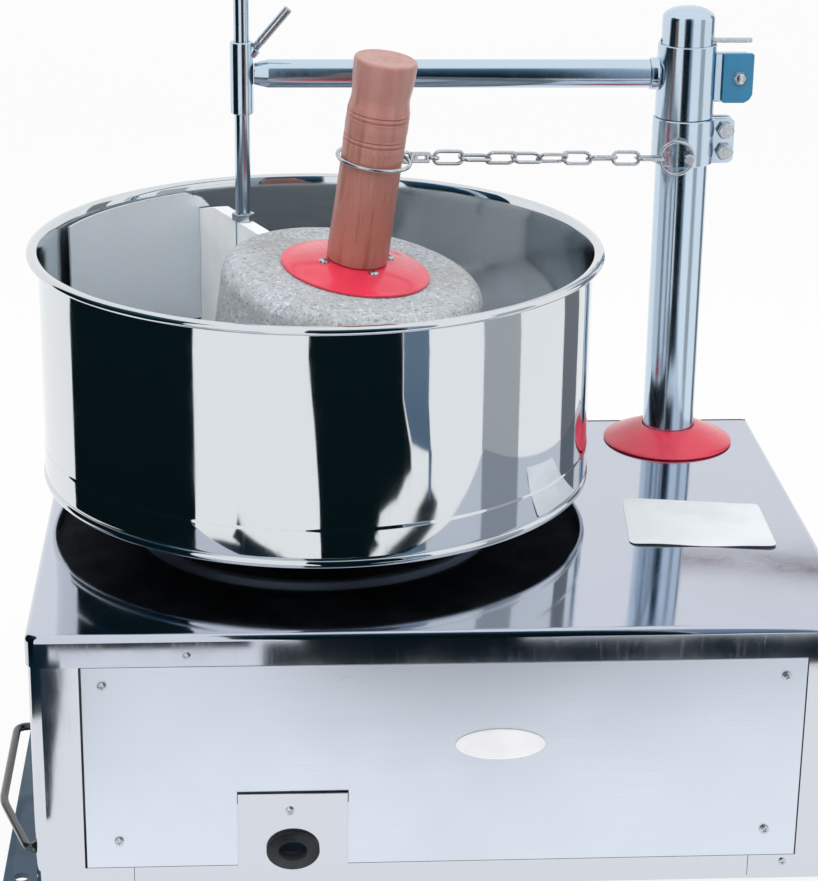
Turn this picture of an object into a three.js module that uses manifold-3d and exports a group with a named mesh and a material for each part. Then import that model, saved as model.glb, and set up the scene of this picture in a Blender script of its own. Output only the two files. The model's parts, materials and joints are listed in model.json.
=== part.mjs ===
// A commercial wet grinder: a stainless drum with a granite base turns under a granite roller stone,
// which a chain holds to a pillar. Millimetres, +X right, +Y back, +Z up. The origin is on the floor, in the
// middle of the machine's overall width and length.
import * as THREE from "three";
import { mergeVertices } from "three/addons/utils/BufferGeometryUtils.js";
import Module from "manifold-3d";

const wasm = await Module();
wasm.setup();

// Clearances and sheet
const fit = 0.3; // between pieces that touch
const running = 1; // between pieces that turn past each other
const overrun = 2; // how far a cutter passes the faces it cuts
const weld = 1e-3; // vertices closer than this are one
const sheet = 1.2; // stainless sheet of the body

// Radii above which a round piece has more sides
const largeRadius = 90;
const smallRadius = 14;
const tinyRadius = 5;

// Body
const drumFromLeft = 202; // the drum's axis from the body's left side
const drumFromFront = 262; // and from its front
const pillarFromDrumX = 291.5; // the pillar's axis from the drum's
const pillarFromDrumY = 109.7;
const pillarFromRight = 74.5; // and from the body's right side
const pillarFromBack = 47.3;
const bodyWidth = drumFromLeft + pillarFromDrumX + pillarFromRight;
const bodyDepth = drumFromFront + pillarFromDrumY + pillarFromBack;
const bodyHeight = 196; // from the base flange to the deck's top
const cornerRadius = 9; // bend between a side and its front stile
const cornerSteps = 5;
const deckFold = 23; // how far the deck's edges fold down
const foldRadius = 5;
const stileWidth = 68; // front stile, partly behind the panel
const railHeight = 30; // bottom rail
const panelMarginX = 36; // body's side to the panel's edge
const panelMarginBottom = 20; // panel's foot to the body's foot
const panelThick = 1.5;
const screwRadius = 3.2;
const screwHead = 2;
const screwShank = 1.6;
const screwLength = 8;
const upperScrewX = 14; // from the panel's edges to the upper screws
const upperScrewZ = 13.5;
const lowerScrewX = 22.5; // and to the lower screws
const lowerScrewZ = 20.5;

// Cable plate and grommet
const cableX = -23.5; // from the drum's axis
const cablePlateWidth = 76;
const cablePlateHeight = 60;
const cablePlateThick = 1.5;
const cablePlateFoot = 16; // its foot above the body's foot
const grommetRadius = 18.5;
const grommetHole = 9.5;
const grommetNeck = 15;
const grommetProud = 5;
const grommetOval = 0.76; // its height over its width
const grommetUp = 17; // its axis above the plate's foot

// Badge, left blank
const badgeX = 119.7; // from the drum's axis
const badgeDown = 85; // below the deck
const badgeHalfWidth = 31;
const badgeHalfHeight = 11.5;
const badgeThick = 0.8;

// Base frame
const flangeThick = 4;
const flangeOut = 25; // how far the flange sticks out of the body
const legHeight = 40;
const flangeHole = 11;
const flangeHoleInset = 22.6; // from the runner's ends
const crossWidth = 40;
const rearCrossWidth = 110;
const rearCrossThick = 6;
const bridgeHeight = 92; // floor to the bearing bridge's underside
const bridgeThick = 8;
const bridgeWidth = 160;
const bridgeLegThick = 6;

// Carry handles, one each side
const gripRodRadius = 3;
const gripUp = 35; // above the floor
const gripOut = 29; // grip's centre line from the body's side
const gripStub = 6; // the near end, from the side to its bend
const gripNear = 10; // the near end behind the body's front
const gripSlant = 68; // its slanted stretch, along Y
const gripLength = 117;
const gripBend = 9;

// Drum and what it stands on
const drumRadius = 206.5;
const rimProud = 8.5; // rolled rim's outside beyond the drum's
const rimRadius = drumRadius + rimProud;
const rimRoll = 4.3; // the roll's half width
const rimRollHeight = 3.1; // and half height
const drumWall = 1.5;
const drumGap = 23; // deck to the drum's lip
const drumHeight = 173.7; // lip to the middle of the rim's roll
const lipProud = 1.7;
const lipHeight = 6;
const bandProud = 1; // the foot band's step
const bandHeight = 29; // lip to the seam
const panUp = 7; // lip to the pan's underside
const discRadius = 110;
const discThick = 5;
const discHole = 34;
const deckHole = 24; // under the seal
const turntableRadius = 141;
const turntableThick = 14;
const turntableRim = 6.4; // height of the bright turned rim at its foot
const turntableStep = 5; // the rim stands proud of the body
const hubRadius = 30;
const hubLength = 8; // below the turntable
const hubCover = 6; // shaft's end to the turntable's top

// Granite base stone with its bowl
const graniteDepth = 48.5; // pan to the ring round the bowl
const bowlDepth = 25.6;
const bowlRadius = 420; // of the bowl's sphere
const graniteEdge = 3;

// Roller stone, which leans to the right and to the front
const leanRight = 7.4;
const leanFront = 5;
const stoneShareX = 0.675; // share of the nose centre's offset that lies along X
const stoneRadius = 97.5;
const stoneHeight = 127.7;
const noseRadius = 160;
const noseHalf = 80; // half width of the rounded nose
const heelWidth = 12;
const heelHeight = 26;
const shoulderWidth = 15;
const shoulderHeight = 14;
const stoneOffset = 47; // nose centre from the drum's axis
const grindingGap = 0.5;
const tieRodRadius = 6;
const tieRodInStone = 76;
const tieRodInHandle = 88;
const tieRodPlay = 2; // at the blind ends

// Cap plate and wooden handle
const capRadius = 55.2;
const capEdge = 1.8;
const capHeight = 8;
const handleRadius = 22.4;
const handleLength = 153;
const handleSwell = 0.5;
const grooveDepth = 1.2;
const grooveWidth = 2.4;
const chamfer = 1;

// Main shaft, bearings and housing
const shaftRadius = 12.5;
const bearingRadius = 26;
const bearingWidth = 15;
const housingRadius = 36;
const housingFlange = 55;
const housingFlangeThick = 10;
const housingHeight = 84;
const housingBore = 19;
const sealRadius = 32;
const sealThick = 4;
const shaftFoot = 24; // shaft's lower end above the floor

// Belt drive and motor
const pulleyRadius = 140;
const pulleyWidth = 18;
const pulleyUp = 36; // pulleys' underside above the floor
const grooveFloor = 9; // groove's depth
const flangeWidth = 3; // groove's walls
const pulleyHub = 28;
const pulleyHubExtra = 10; // hub above the rim
const pulleyRim = 8; // under the groove
const pulleyWeb = 6;
const motorPulleyRadius = 28;
const motorShaftRadius = 8;
const motorFromDrum = 232;
const motorRadius = 62;
const motorHeight = 82;
const motorFoot = 6; // mounting plate
const motorFootWidth = 140;
const motorPilot = 24;
const motorCrown = 12;
const beltThick = 7;
const beltPlay = 0.6; // in the grooves

// Pillar
const pillarRadius = 20.5;
const pillarWall = 2.5;
const pillarAbove = 53; // its top above the arm's axis
const domeHeight = 9;
const socketRadius = 28;
const socketHeight = 45;
const socketFlange = 45;
const socketFlangeThick = 6;
const redRadius = 52.3;
const redHeight = 14;
const redEdge = 1.5;

// Arm and its sleeve
const sleeveWall = 2.2;
const sleeveHeight = 57.5;
const sleeveBelow = 33.5; // its foot below the arm's axis
const armUp = 304; // arm's axis above the deck
const armRadius = 11;
const stubRadius = 12.4;
const stubLength = 6;
const coneLength = 10;
const coneRadius = 8.5;
const lugThick = 6;
const lugOut = 48; // from the pillar's axis
const lugHeight = 39;
const lugBelow = 22.5; // its foot below the arm's axis
const lockPlateIn = 28.5; // from the pillar's axis
const lockPlateWidth = 26;
const lockPlateThick = 4;
const lockBoltRadius = 5.8;
const lockBoltShank = 3;
const lockBoltHead = 4;
const pinRadius = 2;
const pinOut = 50.5; // its right end from the pillar's axis
const pinKnob = 1;

// Scraper rod, its collar and clamp screw
const rodFromDrumX = -55;
const rodRadius = 6;
const rodAbove = 96; // its top above the arm's axis
const collarRadius = 9;
const collarBelow = 31; // its foot below the arm's axis
const collarHeight = 56;
const clampScrewRadius = 3.5;
const clampBossRadius = 5.2;
const clampBossLength = 16;
const clampScrewLength = 56.2; // from the rod's axis
const clampAngle = 49.6; // above the horizontal
const clampAbove = 7.6; // where its axis meets the rod's, above the arm's axis

// Scraper plates
const nylonThick = 12;
const nylonGap = 2; // to the drum's wall
const nylonToStone = 45; // from the rod towards the stone
const nylonTurn = -66.9; // its direction towards the stone, from +X
const nylonFoot = 2; // above the granite ring
const nylonTop = 187; // above the deck
const nylonDrop = 9; // its corner by the wall
const nylonDropLength = 34;
const rodInNylon = 60;
const nutRadius = 9;
const nutHeight = 6;
const guideThick = 1.5;
const guideGap = 3.5; // to the drum's wall
const guideSweep = 43; // degrees
const guideTop = 193.5;
const guideFoot = 6; // above the granite ring
const guideCorner = 15;
const tabLength = 30;
const tabHeight = 60;

// Chain, its rings and collar
const collarWall = 3.6;
const chainCollarHeight = 36;
const earThick = 5;
const earGap = 4;
const earOut = 15; // beyond the collar
const clampBoltRadius = 2.5;
const clampNutRadius = 7;
const clampNutHeight = 5;
const clampBoltInset = 9.5; // from the collar's ends
const studRadius = 2.2;
const studLength = 8;
const studHead = 4;
const studHeadThick = 2;
const studUp = 9; // above the collar's foot
const pillarRingRadius = 13;
const pillarRingWire = 1.4;
const handleRingUp = 86; // above the cap plate's foot, along the handle
const handleRingRadius = 26.5;
const handleRingWire = 1.5;
const eyeRadius = 3.7;
const eyeWire = 1.3;
const clipLength = 16;
const clipWidth = 8;
const clipThick = 3;
const linkWire = 1.35;
const linkWidth = 4.6; // half width at the wire's centre
const linkSegments = 10;
const linkBite = 0.4; // how far pulled links sink into each other
const chainLinks = 9;

// Worked out from the above
const deckZ = flangeThick + bodyHeight;
const frontProud = panelThick + cablePlateThick + grommetProud + 2 * fit;
const frontY = -(drumFromFront + rimRadius - frontProud) / 2;
const backY = frontY + bodyDepth;
const leftX = -bodyWidth / 2;
const drumX = leftX + drumFromLeft;
const drumY = frontY + drumFromFront;
const pillarX = drumX + pillarFromDrumX;
const pillarY = drumY + pillarFromDrumY;
const lipZ = deckZ + drumGap;
const rimZ = lipZ + drumHeight;
const drumBore = drumRadius - drumWall;
const panZ = lipZ + panUp;
const ringZ = panZ + drumWall + graniteDepth; // granite ring's top
const bowlZ = ringZ - bowlDepth; // bowl's lowest point
const bowlCentreZ = bowlZ + bowlRadius;
const bridgeTop = bridgeHeight + bridgeThick;
const housingZ = bridgeTop + fit;
const motorX = drumX + motorFromDrum;
const armZ = deckZ + armUp;
const sleeveZ = armZ - sleeveBelow;
const lugZ = armZ - lugBelow;
const clampZ = armZ + clampAbove;
const armLength = pillarFromDrumX - rodFromDrumX;
const rodX = drumX + rodFromDrumX;
const shaftBore = shaftRadius + fit;
const panelX = bodyWidth / 2 - panelMarginX; // panel's half width
const panelFoot = flangeThick + panelMarginBottom;
const panelTop = deckZ - deckFold - fit;
const panelFront = frontY - fit - panelThick;
const grommetX = drumX + cableX;
const grommetZ = flangeThick + cablePlateFoot + grommetUp;
const screwPlaces = [
  [-panelX + upperScrewX, panelTop - upperScrewZ],
  [panelX - upperScrewX, panelTop - upperScrewZ],
  [-panelX + lowerScrewX, panelFoot + lowerScrewZ],
  [panelX - lowerScrewX, panelFoot + lowerScrewZ],
];
const sleeveBore = pillarRadius + fit;
const sleeveRadius = sleeveBore + sleeveWall;

const tau = Math.PI * 2;
const degrees = Math.PI / 180;
const up = new THREE.Vector3(0, 0, 1);

// Finishes
const finish = (color, roughness, metalness) => new THREE.MeshStandardMaterial({ color, roughness, metalness });
const polished = finish(0xd8dde2, 0.08, 1);
const brushed = finish(0xc3c8cc, 0.3, 1);
const zinc = finish(0xb4b9bd, 0.35, 0.9);
const darkIron = finish(0x14181b, 0.4, 0.6);
const granite = finish(0xb2b4b2, 0.75, 0);
const redPaint = finish(0xe23a52, 0.3, 0);
const bluePaint = finish(0x2a5a85, 0.45, 0.1);
const blackPaint = finish(0x1c2c30, 0.4, 0.2);
const wood = finish(0xb56a50, 0.5, 0);
const nylon = finish(0xe4e7ea, 0.5, 0);
const rubber = finish(0x101214, 0.7, 0);
const paint = finish(0x5a6670, 0.5, 0.2);
const enamel = finish(0xf2f2f0, 0.4, 0);

// A closed geometry as a solid, and back
function solid(geometry) {
  const bare = geometry.clone();
  bare.deleteAttribute("normal");
  bare.deleteAttribute("uv");
  const merged = mergeVertices(bare, weld);
  return new wasm.Manifold(
    new wasm.Mesh({
      numProp: 3,
      vertProperties: merged.attributes.position.array,
      triVerts: new Uint32Array(merged.index.array),
    }),
  );
}

function geometryOf(made) {
  const mesh = made.getMesh();
  const geometry = new THREE.BufferGeometry();
  geometry.setAttribute("position", new THREE.BufferAttribute(mesh.vertProperties, mesh.numProp));
  geometry.setIndex(new THREE.BufferAttribute(mesh.triVerts, 1));
  geometry.computeVertexNormals();
  return geometry;
}

const join = (...pieces) => geometryOf(pieces.map(solid).reduce((a, b) => a.add(b)));
const cut = (base, ...tools) => geometryOf(tools.map(solid).reduce((a, b) => a.subtract(b), solid(base)));

// A block between two corners
function block([x0, y0, z0], [x1, y1, z1]) {
  const geometry = new THREE.BoxGeometry(Math.abs(x1 - x0), Math.abs(y1 - y0), Math.abs(z1 - z0));
  return geometry.translate((x0 + x1) / 2, (y0 + y1) / 2, (z0 + z1) / 2);
}

// A profile of [radius, height] points, turned about Z. The points go up the outside; wide ones get more sides.
function turned(points, sides = sidesFor(Math.max(...points.map(([r]) => r)))) {
  const profile = points.map(([r, z]) => new THREE.Vector2(r, z));
  return new THREE.LatheGeometry(profile, sides).rotateX(Math.PI / 2);
}

function sidesFor(radius) {
  if (radius > largeRadius) return 40;
  if (radius > smallRadius) return 22;
  return radius > tinyRadius ? 14 : 10;
}

const bar = (radius, z0, z1, sides) => turned([[0, z0], [radius, z0], [radius, z1], [0, z1]], sides);
const ring = (inner, outer, z0, z1) =>
  turned([[inner, z0], [outer, z0], [outer, z1], [inner, z1], [inner, z0]]);

// Points on an elliptical arc, angles in degrees
function arc(centreX, centreY, radiusX, radiusY, from, to, steps) {
  return Array.from({ length: steps + 1 }, (_, i) => {
    const angle = (from + ((to - from) * i) / steps) * degrees;
    return [centreX + radiusX * Math.cos(angle), centreY + radiusY * Math.sin(angle)];
  });
}

const outline = (points) => new THREE.Shape(points.map(([x, y]) => new THREE.Vector2(x, y)));

// An outline in the XY plane, made thick along Z
function plate(points, thick, holes = []) {
  const shape = outline(points);
  shape.holes.push(...holes.map(outline));
  return new THREE.ExtrudeGeometry(shape, { depth: thick, bevelEnabled: false, curveSegments: 6 });
}

// Geometry turned about Z, swung to point along -Y, +X or -X
const toFront = (geometry) => geometry.rotateX(Math.PI / 2);
const toRight = (geometry) => geometry.rotateY(Math.PI / 2);
const toLeft = (geometry) => geometry.rotateY(-Math.PI / 2);

// Cutters through the front's sheets, for the screws and for the grommet
function frontHole(radius, x, z) {
  const depth = screwLength + grommetProud;
  return toFront(bar(radius, -frontY - depth, -frontY + depth)).translate(x, 0, z);
}

const screwHoles = () => screwPlaces.map(([x, z]) => frontHole(screwShank + fit, x, z));
const grommetCut = () =>
  frontHole(grommetNeck + fit, grommetX, 0).scale(1, 1, grommetOval).translate(0, 0, grommetZ);

// A round rod through points, with a rounded bend of its own size at each inner point
function bentRod(points, radius, bends, sides, steps) {
  const corners = points.map((p) => new THREE.Vector3(...p));
  const line = [corners[0]];
  corners.slice(1, -1).forEach((corner, i) => {
    const start = corner.clone().sub(corner.clone().sub(corners[i]).setLength(bends[i]));
    const end = corner.clone().add(corners[i + 2].clone().sub(corner).setLength(bends[i]));
    line.push(...new THREE.QuadraticBezierCurve3(start, corner, end).getPoints(steps));
  });
  line.push(corners[corners.length - 1]);
  return swept(line, radius, sides);
}

// A round section carried along a line of points, square to it, and closed at both ends
function swept(line, radius, sides) {
  const positions = [];
  const faces = [];
  const normal = new THREE.Vector3();
  line.forEach((point, i) => {
    const ahead = line[Math.min(i + 1, line.length - 1)].clone().sub(line[Math.max(i - 1, 0)]).normalize();
    if (i === 0) normal.crossVectors(ahead, Math.abs(ahead.z) < 0.9 ? up : new THREE.Vector3(1, 0, 0));
    normal.addScaledVector(ahead, -normal.dot(ahead)).normalize();
    const across = new THREE.Vector3().crossVectors(ahead, normal);
    for (let k = 0; k < sides; k++) {
      const angle = (tau * k) / sides;
      const vertex = point.clone().addScaledVector(normal, radius * Math.cos(angle));
      positions.push(...vertex.addScaledVector(across, radius * Math.sin(angle)).toArray());
      if (i === 0) continue;
      const [a, b] = [(i - 1) * sides + k, (i - 1) * sides + ((k + 1) % sides)];
      faces.push(a, b, b + sides, a, b + sides, a + sides);
    }
  });
  const last = (line.length - 1) * sides;
  for (let k = 1; k < sides - 1; k++) {
    faces.push(0, k + 1, k, last, last + k, last + k + 1);
  }
  const geometry = new THREE.BufferGeometry();
  geometry.setAttribute("position", new THREE.Float32BufferAttribute(positions, 3));
  geometry.setIndex(faces);
  return geometry;
}

function piece(name, geometry, material, x = 0, y = 0, z = 0) {
  const mesh = new THREE.Mesh(geometry, material);
  mesh.name = name;
  mesh.position.set(x, y, z);
  return mesh;
}

function group(...children) {
  const made = new THREE.Group();
  children.forEach((child) => made.add(child));
  return made;
}

// Base frame: runners with a welded upright each, cross members, and the bridge for bearing and motor
function baseFrame() {
  const legX = bodyWidth / 2 - sheet - fit;
  const innerX = legX - flangeThick;
  const made = group();
  for (const [word, side] of [["left", -1], ["right", 1]]) {
    const leg = block([side * innerX, frontY + cornerRadius, 0], [side * legX, backY - sheet - fit, legHeight]);
    const flangeEnd = bodyWidth / 2 + flangeOut;
    const flange = block([side * innerX, frontY, 0], [side * flangeEnd, backY, flangeThick]);
    const holeX = (side * (bodyWidth + flangeOut)) / 2;
    const holes = [frontY + flangeHoleInset, backY - flangeHoleInset].map((y) =>
      bar(flangeHole / 2, -overrun, flangeThick + overrun).translate(holeX, y, 0),
    );
    const upright = block(
      [side * legX, drumY - bridgeWidth / 2, 0],
      [side * (innerX - bridgeLegThick), pillarY - rearCrossWidth / 2 - fit, bridgeHeight - fit],
    );
    made.add(piece(`base_runner_${word}`, cut(join(leg, flange, upright), ...holes), bluePaint));
  }
  const crossX = innerX - fit;
  const crossY = frontY + crossWidth / 4;
  const crossFoot = block([-crossX, crossY, 0], [crossX, crossY + crossWidth, flangeThick]);
  const crossWall = block([-crossX, crossY, 0], [crossX, crossY + flangeThick, legHeight]);
  made.add(piece("base_cross_front", join(crossFoot, crossWall), bluePaint));
  const rearFoot = block(
    [-crossX, pillarY - rearCrossWidth / 2, 0],
    [crossX, Math.min(pillarY + rearCrossWidth / 2, backY - sheet - fit), rearCrossThick],
  );
  made.add(piece("base_cross_rear", rearFoot, bluePaint));
  const bridge = block(
    [-innerX + fit, drumY - bridgeWidth / 2, bridgeHeight],
    [innerX - fit, drumY + bridgeWidth / 2, bridgeTop],
  );
  const bridgeHole = (radius, x) =>
    bar(radius, bridgeHeight - overrun, bridgeTop + overrun).translate(x, drumY, 0);
  const shaftHole = bridgeHole(shaftBore + running, drumX);
  const motorHole = bridgeHole(motorPilot + fit, motorX);
  made.add(piece("bearing_bridge", cut(bridge, shaftHole, motorHole), bluePaint));
  return made;
}

// Body: side wraps with the front stiles, rear panel, bottom rail, deck
function bodyShell() {
  const half = bodyWidth / 2;
  const made = group();
  const wallTop = deckZ - foldRadius; // where the deck's fold begins to round
  for (const [word, side] of [["left", -1], ["right", 1]]) {
    const bend = (radius, from, to) =>
      arc(half - cornerRadius, frontY + cornerRadius, radius, radius, from, to, cornerSteps)
        .map(([x, y]) => [side * x, y]);
    const points = [
      [side * half, backY],
      ...bend(cornerRadius, 0, -90),
      [side * (half - stileWidth), frontY],
      [side * (half - stileWidth), frontY + sheet],
      ...bend(cornerRadius - sheet, -90, 0),
      [side * (half - sheet), backY],
    ];
    const wrap = plate(points, wallTop - flangeThick - fit).translate(0, 0, flangeThick + fit);
    made.add(piece(`side_wrap_${word}`, cut(wrap, ...screwHoles()), polished));
  }
  const rearX = half - sheet - fit;
  const rear = block([-rearX, backY - sheet, flangeThick + fit], [rearX, backY, wallTop]);
  made.add(piece("rear_panel", rear, brushed));
  const railX = half - stileWidth - fit;
  const rail = block([-railX, frontY, flangeThick + fit], [railX, frontY + sheet, flangeThick + railHeight]);
  made.add(piece("bottom_rail", cut(rail, grommetCut()), polished));
  return made;
}

// Deck: a sheet with its edges folded down over the body, with holes for the hub, the pillar
function deck() {
  const lap = sheet + fit; // the fold lies outside the body's sheets
  const half = bodyWidth / 2 + lap;
  const front = frontY - lap;
  const back = backY + lap;
  const shell = (inset, top) => {
    const footprint = (shrink) => {
      const inner = inset + shrink;
      const round = cornerRadius + lap - inner;
      const tight = Math.max(lap - inner, fit); // the back corners are square
      return [
        ...arc(half - inner - tight, back - inner - tight, tight, tight, 0, 90, 1),
        ...arc(-half + inner + tight, back - inner - tight, tight, tight, 90, 180, 1),
        ...arc(-half + inner + round, front + inner + round, round, round, 180, 270, cornerSteps),
        ...arc(half - inner - round, front + inner + round, round, round, 270, 360, cornerSteps),
      ];
    };
    const radius = foldRadius - inset;
    const steps = 3;
    const levels = Array.from({ length: steps + 1 }, (_, i) => {
      const angle = (Math.PI / 2 / steps) * i;
      return [radius * (1 - Math.cos(angle)), top - radius * (1 - Math.sin(angle))];
    });
    const foldFoot = [0, deckZ - deckFold - (inset ? overrun : 0)];
    return [foldFoot, ...levels].map(([shrink, z]) => [footprint(shrink), z]);
  };
  const outer = stacked(shell(0, deckZ));
  const inner = stacked(shell(sheet, deckZ - sheet));
  const hubHole = bar(deckHole, deckZ - sheet - overrun, deckZ + overrun).translate(drumX, drumY, 0);
  const pillarHole = bar(sleeveBore, deckZ - sheet - overrun, deckZ + overrun).translate(pillarX, pillarY, 0);
  const disc = ring(discHole, discRadius, deckZ + fit, deckZ + discThick);
  return group(
    piece("deck_top", cut(outer, inner, hubHole, pillarHole), polished),
    piece("deck_disc", disc, polished, drumX, drumY),
  );
}

// A closed solid through like outlines at rising heights
function stacked(levels) {
  const count = levels[0][0].length;
  const positions = levels.flatMap(([points, z]) => points.flatMap(([x, y]) => [x, y, z]));
  const faces = [];
  levels.slice(1).forEach((_, level) => {
    for (let i = 0; i < count; i++) {
      const next = (i + 1) % count;
      const low = level * count;
      const high = low + count;
      const [a, b, c, d] = [low + i, low + next, high + next, high + i];
      faces.push(a, b, c, a, c, d);
    }
  });
  const top = (levels.length - 1) * count;
  for (let i = 1; i < count - 1; i++) {
    faces.push(0, i + 1, i, top, top + i, top + i + 1);
  }
  const geometry = new THREE.BufferGeometry();
  geometry.setAttribute("position", new THREE.Float32BufferAttribute(positions, 3));
  geometry.setIndex(faces);
  return geometry;
}

// Front panel with its screws, the cable plate with its grommet, and the blank badge
function frontPanel() {
  const panel = block([-panelX, panelFront, panelFoot], [panelX, frontY - fit, panelTop]);
  const plateFace = panelFront - fit;
  const plateFront = plateFace - cablePlateThick;
  const plateFoot = flangeThick + cablePlateFoot;
  const cablePlate = block(
    [grommetX - cablePlateWidth / 2, plateFront, plateFoot],
    [grommetX + cablePlateWidth / 2, plateFace, plateFoot + cablePlateHeight],
  );
  const back = -frontY - sheet;
  const seat = -plateFront + fit;
  const proud = -plateFront + grommetProud;
  const grommet = turned(
    [
      [grommetHole, back],
      [grommetNeck, back],
      [grommetNeck, seat],
      [grommetRadius, seat],
      [grommetRadius, proud - chamfer],
      [grommetRadius - chamfer, proud],
      [grommetHole + chamfer, proud],
      [grommetHole, proud - chamfer],
      [grommetHole, back],
    ],
  );
  const badge = plate(arc(0, 0, badgeHalfWidth, badgeHalfHeight, 0, 345, 23), badgeThick);
  const made = group(
    piece("front_panel", cut(panel, ...screwHoles(), grommetCut()), polished),
    piece("cable_plate", cut(cablePlate, grommetCut()), polished),
    piece("cable_grommet", toFront(grommet.scale(1, grommetOval, 1)), rubber, grommetX, 0, grommetZ),
    piece("badge_plate", toFront(badge), enamel, drumX + badgeX, panelFront - fit, deckZ - badgeDown),
  );
  const head = -panelFront + fit;
  screwPlaces.forEach(([x, z], i) => {
    const screw = turned(
      [
        [0, head - screwLength],
        [screwShank, head - screwLength],
        [screwShank, head],
        [screwRadius, head],
        [screwRadius - chamfer, head + screwHead],
        [0, head + screwHead],
      ],
    );
    made.add(piece(`panel_screw_${i + 1}`, toFront(screw), zinc, x, 0, z));
  });
  return made;
}

// Carry handles: a bent rod on each side, low on the body
function carryHandles() {
  const made = group();
  for (const [word, side] of [["left", -1], ["right", 1]]) {
    const half = bodyWidth / 2;
    const near = frontY + gripNear;
    const far = near + gripSlant + gripLength;
    const route = [
      [half + fit, near],
      [half + gripStub, near],
      [half + gripOut, near + gripSlant],
      [half + gripOut, far],
      [half + fit, far],
    ];
    const points = route.map(([x, y]) => [side * x, y, gripUp]);
    const bends = [gripStub / 2, gripBend, gripBend];
    const rod = bentRod(points, gripRodRadius, bends, 8, 4);
    made.add(piece(`carry_handle_${word}`, rod, blackPaint));
  }
  return made;
}

// Drive: shaft, bearings, housing, pulleys, belt and motor
function drive() {
  const seat = bearingRadius + fit;
  const top = housingZ + housingHeight;
  const depth = bearingWidth + fit;
  const housing = turned(
    [
      [seat, housingZ],
      [housingFlange, housingZ],
      [housingFlange, housingZ + housingFlangeThick],
      [housingRadius, housingZ + housingFlangeThick],
      [housingRadius, top],
      [seat, top],
      [seat, top - depth],
      [housingBore, top - depth],
      [housingBore, housingZ + depth],
      [seat, housingZ + depth],
      [seat, housingZ],
    ],
  );
  const bearing = (z) => ring(shaftBore, bearingRadius, z, z + bearingWidth);
  const shaftTop = panZ - fit - hubCover;
  const grooveMid = pulleyUp + pulleyWidth / 2;
  const drivenPulley = pulley(pulleyRadius, shaftBore, pulleyHub, pulleyHubExtra);
  return group(
    piece("bearing_housing", housing, darkIron, drumX, drumY),
    piece("upper_bearing", bearing(top - bearingWidth), brushed, drumX, drumY),
    piece("lower_bearing", bearing(housingZ), brushed, drumX, drumY),
    piece("main_shaft", bar(shaftRadius, shaftFoot, shaftTop), brushed, drumX, drumY),
    piece("shaft_seal", ring(shaftBore, sealRadius, deckZ + fit, deckZ + sealThick), rubber, drumX, drumY),
    piece("driven_pulley", drivenPulley, darkIron, drumX, drumY),
    piece("motor_pulley", pulley(motorPulleyRadius, motorShaftRadius + fit, 0, 0), darkIron, motorX, drumY),
    piece("drive_belt", belt(), rubber, drumX, drumY, grooveMid),
    motor(),
  );
}

// A grooved pulley; a large one has a web and a hub
function pulley(radius, bore, hub, hubExtra) {
  const z0 = pulleyUp;
  const z1 = pulleyUp + pulleyWidth;
  const floor = radius - grooveFloor;
  const groove = [
    [radius, z0],
    [radius, z0 + flangeWidth],
    [floor, z0 + flangeWidth],
    [floor, z1 - flangeWidth],
    [radius, z1 - flangeWidth],
    [radius, z1],
  ];
  if (!hub) return turned([[bore, z0], ...groove, [bore, z1], [bore, z0]]);
  const rim = floor - pulleyRim;
  const web = z0 + (pulleyWidth - pulleyWeb) / 2;
  return turned(
    [
      [bore, z0],
      [hub, z0],
      [hub, web],
      [rim, web],
      [rim, z0],
      ...groove,
      [rim, z1],
      [rim, web + pulleyWeb],
      [hub, web + pulleyWeb],
      [hub, z1 + hubExtra],
      [bore, z1 + hubExtra],
      [bore, z0],
    ],
  );
}

// The belt round both pulleys, in their grooves
function belt() {
  const loop = (lift) => {
    const big = pulleyRadius - grooveFloor + beltPlay + lift;
    const small = motorPulleyRadius - grooveFloor + beltPlay + lift;
    const wrap = Math.asin((big - small) / motorFromDrum) / degrees;
    return [
      ...arc(0, 0, big, big, 90 - wrap, 270 + wrap, 36),
      ...arc(motorFromDrum, 0, small, small, -90 + wrap, 90 - wrap, 10),
    ];
  };
  const width = pulleyWidth - 2 * flangeWidth - 2 * beltPlay;
  return plate(loop(beltThick), width, [loop(0).reverse()]).translate(0, 0, -width / 2);
}

// Motor on its mounting plate, standing on the bridge with its shaft down through it
function motor() {
  const foot = bridgeTop + fit;
  const plateTop = foot + motorFoot;
  const footHalf = motorFootWidth / 2;
  const bodyZ = plateTop + fit;
  const bodyTop = bodyZ + motorHeight;
  const mount = cut(
    block([-footHalf, -footHalf, foot], [footHalf, footHalf, plateTop]),
    bar(motorPilot + fit, foot - overrun, plateTop + overrun),
  );
  const bore = motorShaftRadius + fit;
  const body = turned(
    [
      [bore, bodyZ - bridgeThick],
      [motorPilot, bodyZ - bridgeThick],
      [motorPilot, bodyZ],
      [motorRadius, bodyZ],
      [motorRadius, bodyTop - motorCrown],
      [motorRadius - motorCrown, bodyTop],
      [bore, bodyTop],
      [bore, bodyZ - bridgeThick],
    ],
  );
  return group(
    piece("motor_plate", mount, zinc, motorX, drumY),
    piece("motor_body", body, paint, motorX, drumY),
    piece("motor_shaft", bar(motorShaftRadius, pulleyUp, bodyTop), brushed, motorX, drumY),
  );
}

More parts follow.
